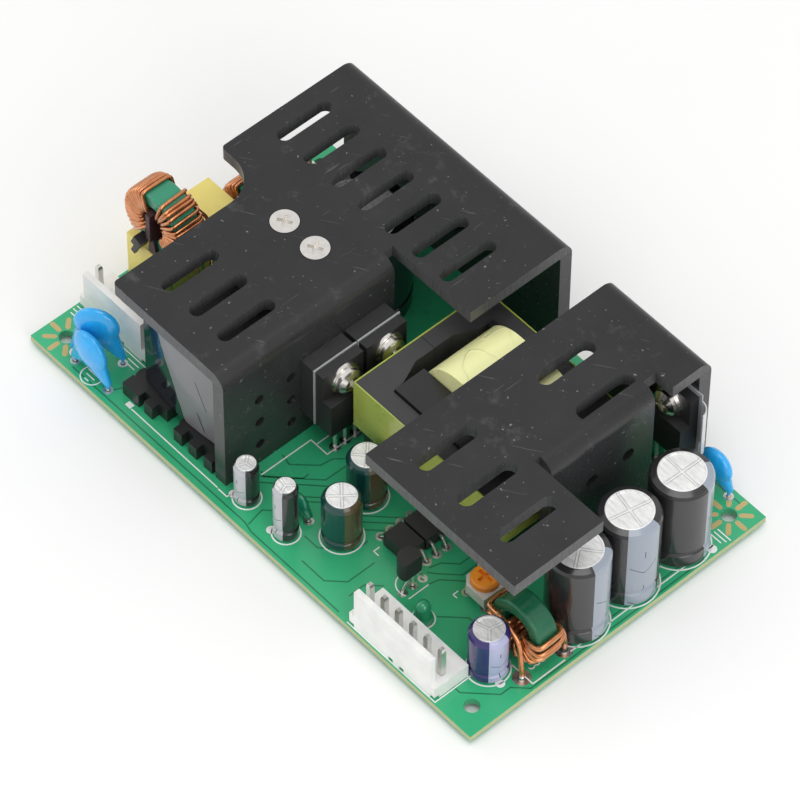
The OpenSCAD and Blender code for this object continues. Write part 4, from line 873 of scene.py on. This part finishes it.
# %% Filter choke
mid = middle("filter_choke_core")
for side, begin in ((-1, 250), (1, 290)):
    near, far = sorted([tip for tip in leads["filter_choke_windings"] if (tip[0] - mid.x) * side > 0],
                       key=lambda tip: tip[1])
    coil = turns("filter_choke_core", 7.0, FINE, begin, 140 * side, 13, FRONT, BACK, 0.15)
    start = soften([(near[0], near[1], -LEAD_OUT), (near[0], near[1], TOP + 1.4), coil[0]])
    end = soften([coil[-1], (mid.x + side * 4, mid.y + 4.4, mid.z + 1), (far[0], far[1], mid.z - 4),
                  (far[0], far[1], -LEAD_OUT)])
    wire(f"filter_turns_{1 if side < 0 else 2}", start[:-1] + coil + end[1:], FINE)
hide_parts("filter_choke_windings")

# %% Output inductor
THICK = 1.15
mid = middle("output_inductor_core")
near, far = sorted(leads["output_inductor_winding"], key=lambda tip: tip[1])
coil = turns("output_inductor_core", 7.2, THICK, 168, 210, 11, FRONT, BACK, 0.12, 0.42)
start = soften([(near[0], near[1], -LEAD_OUT), (near[0], near[1], TOP + 1.2),
                (mid.x + 3.0, mid.y - 4.3, mid.z + 0.5), (mid.x - 1.5, mid.y - 4.2, mid.z + 3.0), coil[0]], 1.6)
end = soften([coil[-1], (far[0] - 0.4, far[1] - 1.2, mid.z + 0.5), (far[0], far[1], mid.z - 3.5),
              (far[0], far[1], -LEAD_OUT)], 1.6)
wire("inductor_turns", start[:-1] + coil + end[1:], THICK, "output_inductor_winding")

# %% [markdown]
# ## Studio
# The floor is a pale sheet under the lead tips. A wide soft light above and behind gives the
# tops their even grey and the bends their bright line; two weaker ones fill the walls.

# %% Floor and lights
floor_mesh = bmesh.new()
bmesh.ops.create_grid(floor_mesh, x_segments=1, y_segments=1, size=3.0,
                      matrix=Matrix.Translation((0, 0, cad_box[0][2])))
paper = Finish("paper", (0.90, 0.90, 0.895), 0.8)
grain = paper.noise(paper.place(), 0.02)
paper.set(**{"Base Color": paper.blend(grain, (0.89, 0.89, 0.885), (0.91, 0.91, 0.905))})
mesh = bpy.data.meshes.new("floor")
floor_mesh.to_mesh(mesh)
floor_mesh.free()
mesh.materials.append(paper.material)
floor = bpy.data.objects.new("floor", mesh)
bpy.context.scene.collection.objects.link(floor)


def soft_light(name, place, size, power):
    lamp_data = bpy.data.lights.new(name, "AREA")
    lamp_data.shape = "RECTANGLE"
    lamp_data.size, lamp_data.size_y = size
    lamp_data.energy = power
    made = bpy.data.objects.new(name, lamp_data)
    made.location = place
    made.rotation_euler = (-Vector(place)).to_track_quat("-Z", "Y").to_euler()
    bpy.context.scene.collection.objects.link(made)


soft_light("top_light", (0.10, -0.05, 0.80), (0.5, 0.5), 1.8)
soft_light("left_light", (-0.55, -0.35, 0.35), (0.4, 0.4), 0.5)
soft_light("right_light", (0.6, -0.15, 0.40), (0.4, 0.5), 1.3)
world = bpy.data.worlds.new("room")
world.use_nodes = True
world.node_tree.nodes["Background"].inputs["Color"].default_value = (1.0, 1.0, 1.0, 1.0)
world.node_tree.nodes["Background"].inputs["Strength"].default_value = 0.76
bpy.context.scene.world = world
bpy.context.scene.view_settings.view_transform = "Standard"

# %% [markdown]
# ## Camera
# A long lens looks down on the board from its output corner. Azimuth is measured from the
# board's front, elevation from the floor, and the roll is a slight lean of the camera.

# %% Camera
AZIMUTH, ELEVATION, ROLL = (math.radians(angle) for angle in (47.60, 52.16, 0.54))
LOOK_AT = Vector((1.08, 0.55, 10.0)) * MM
DISTANCE = 1.0829
back = Vector((math.sin(AZIMUTH) * math.cos(ELEVATION), -math.cos(AZIMUTH) * math.cos(ELEVATION), math.sin(ELEVATION)))
right = Vector((math.cos(AZIMUTH), math.sin(AZIMUTH), 0))
up = back.cross(right)
lean_right = right * math.cos(ROLL) + up * math.sin(ROLL)
lean_up = up * math.cos(ROLL) - right * math.sin(ROLL)
camera_data = bpy.data.cameras.new("camera")
camera_data.sensor_width = 36
camera_data.lens = 254.7
camera_data.clip_start, camera_data.clip_end = 0.05, 20
camera = bpy.data.objects.new("camera", camera_data)
axes = Matrix((lean_right, lean_up, back)).transposed().to_4x4()
camera.matrix_world = Matrix.Translation(LOOK_AT + back * DISTANCE) @ axes
bpy.context.scene.collection.objects.link(camera)
bpy.context.scene.camera = camera
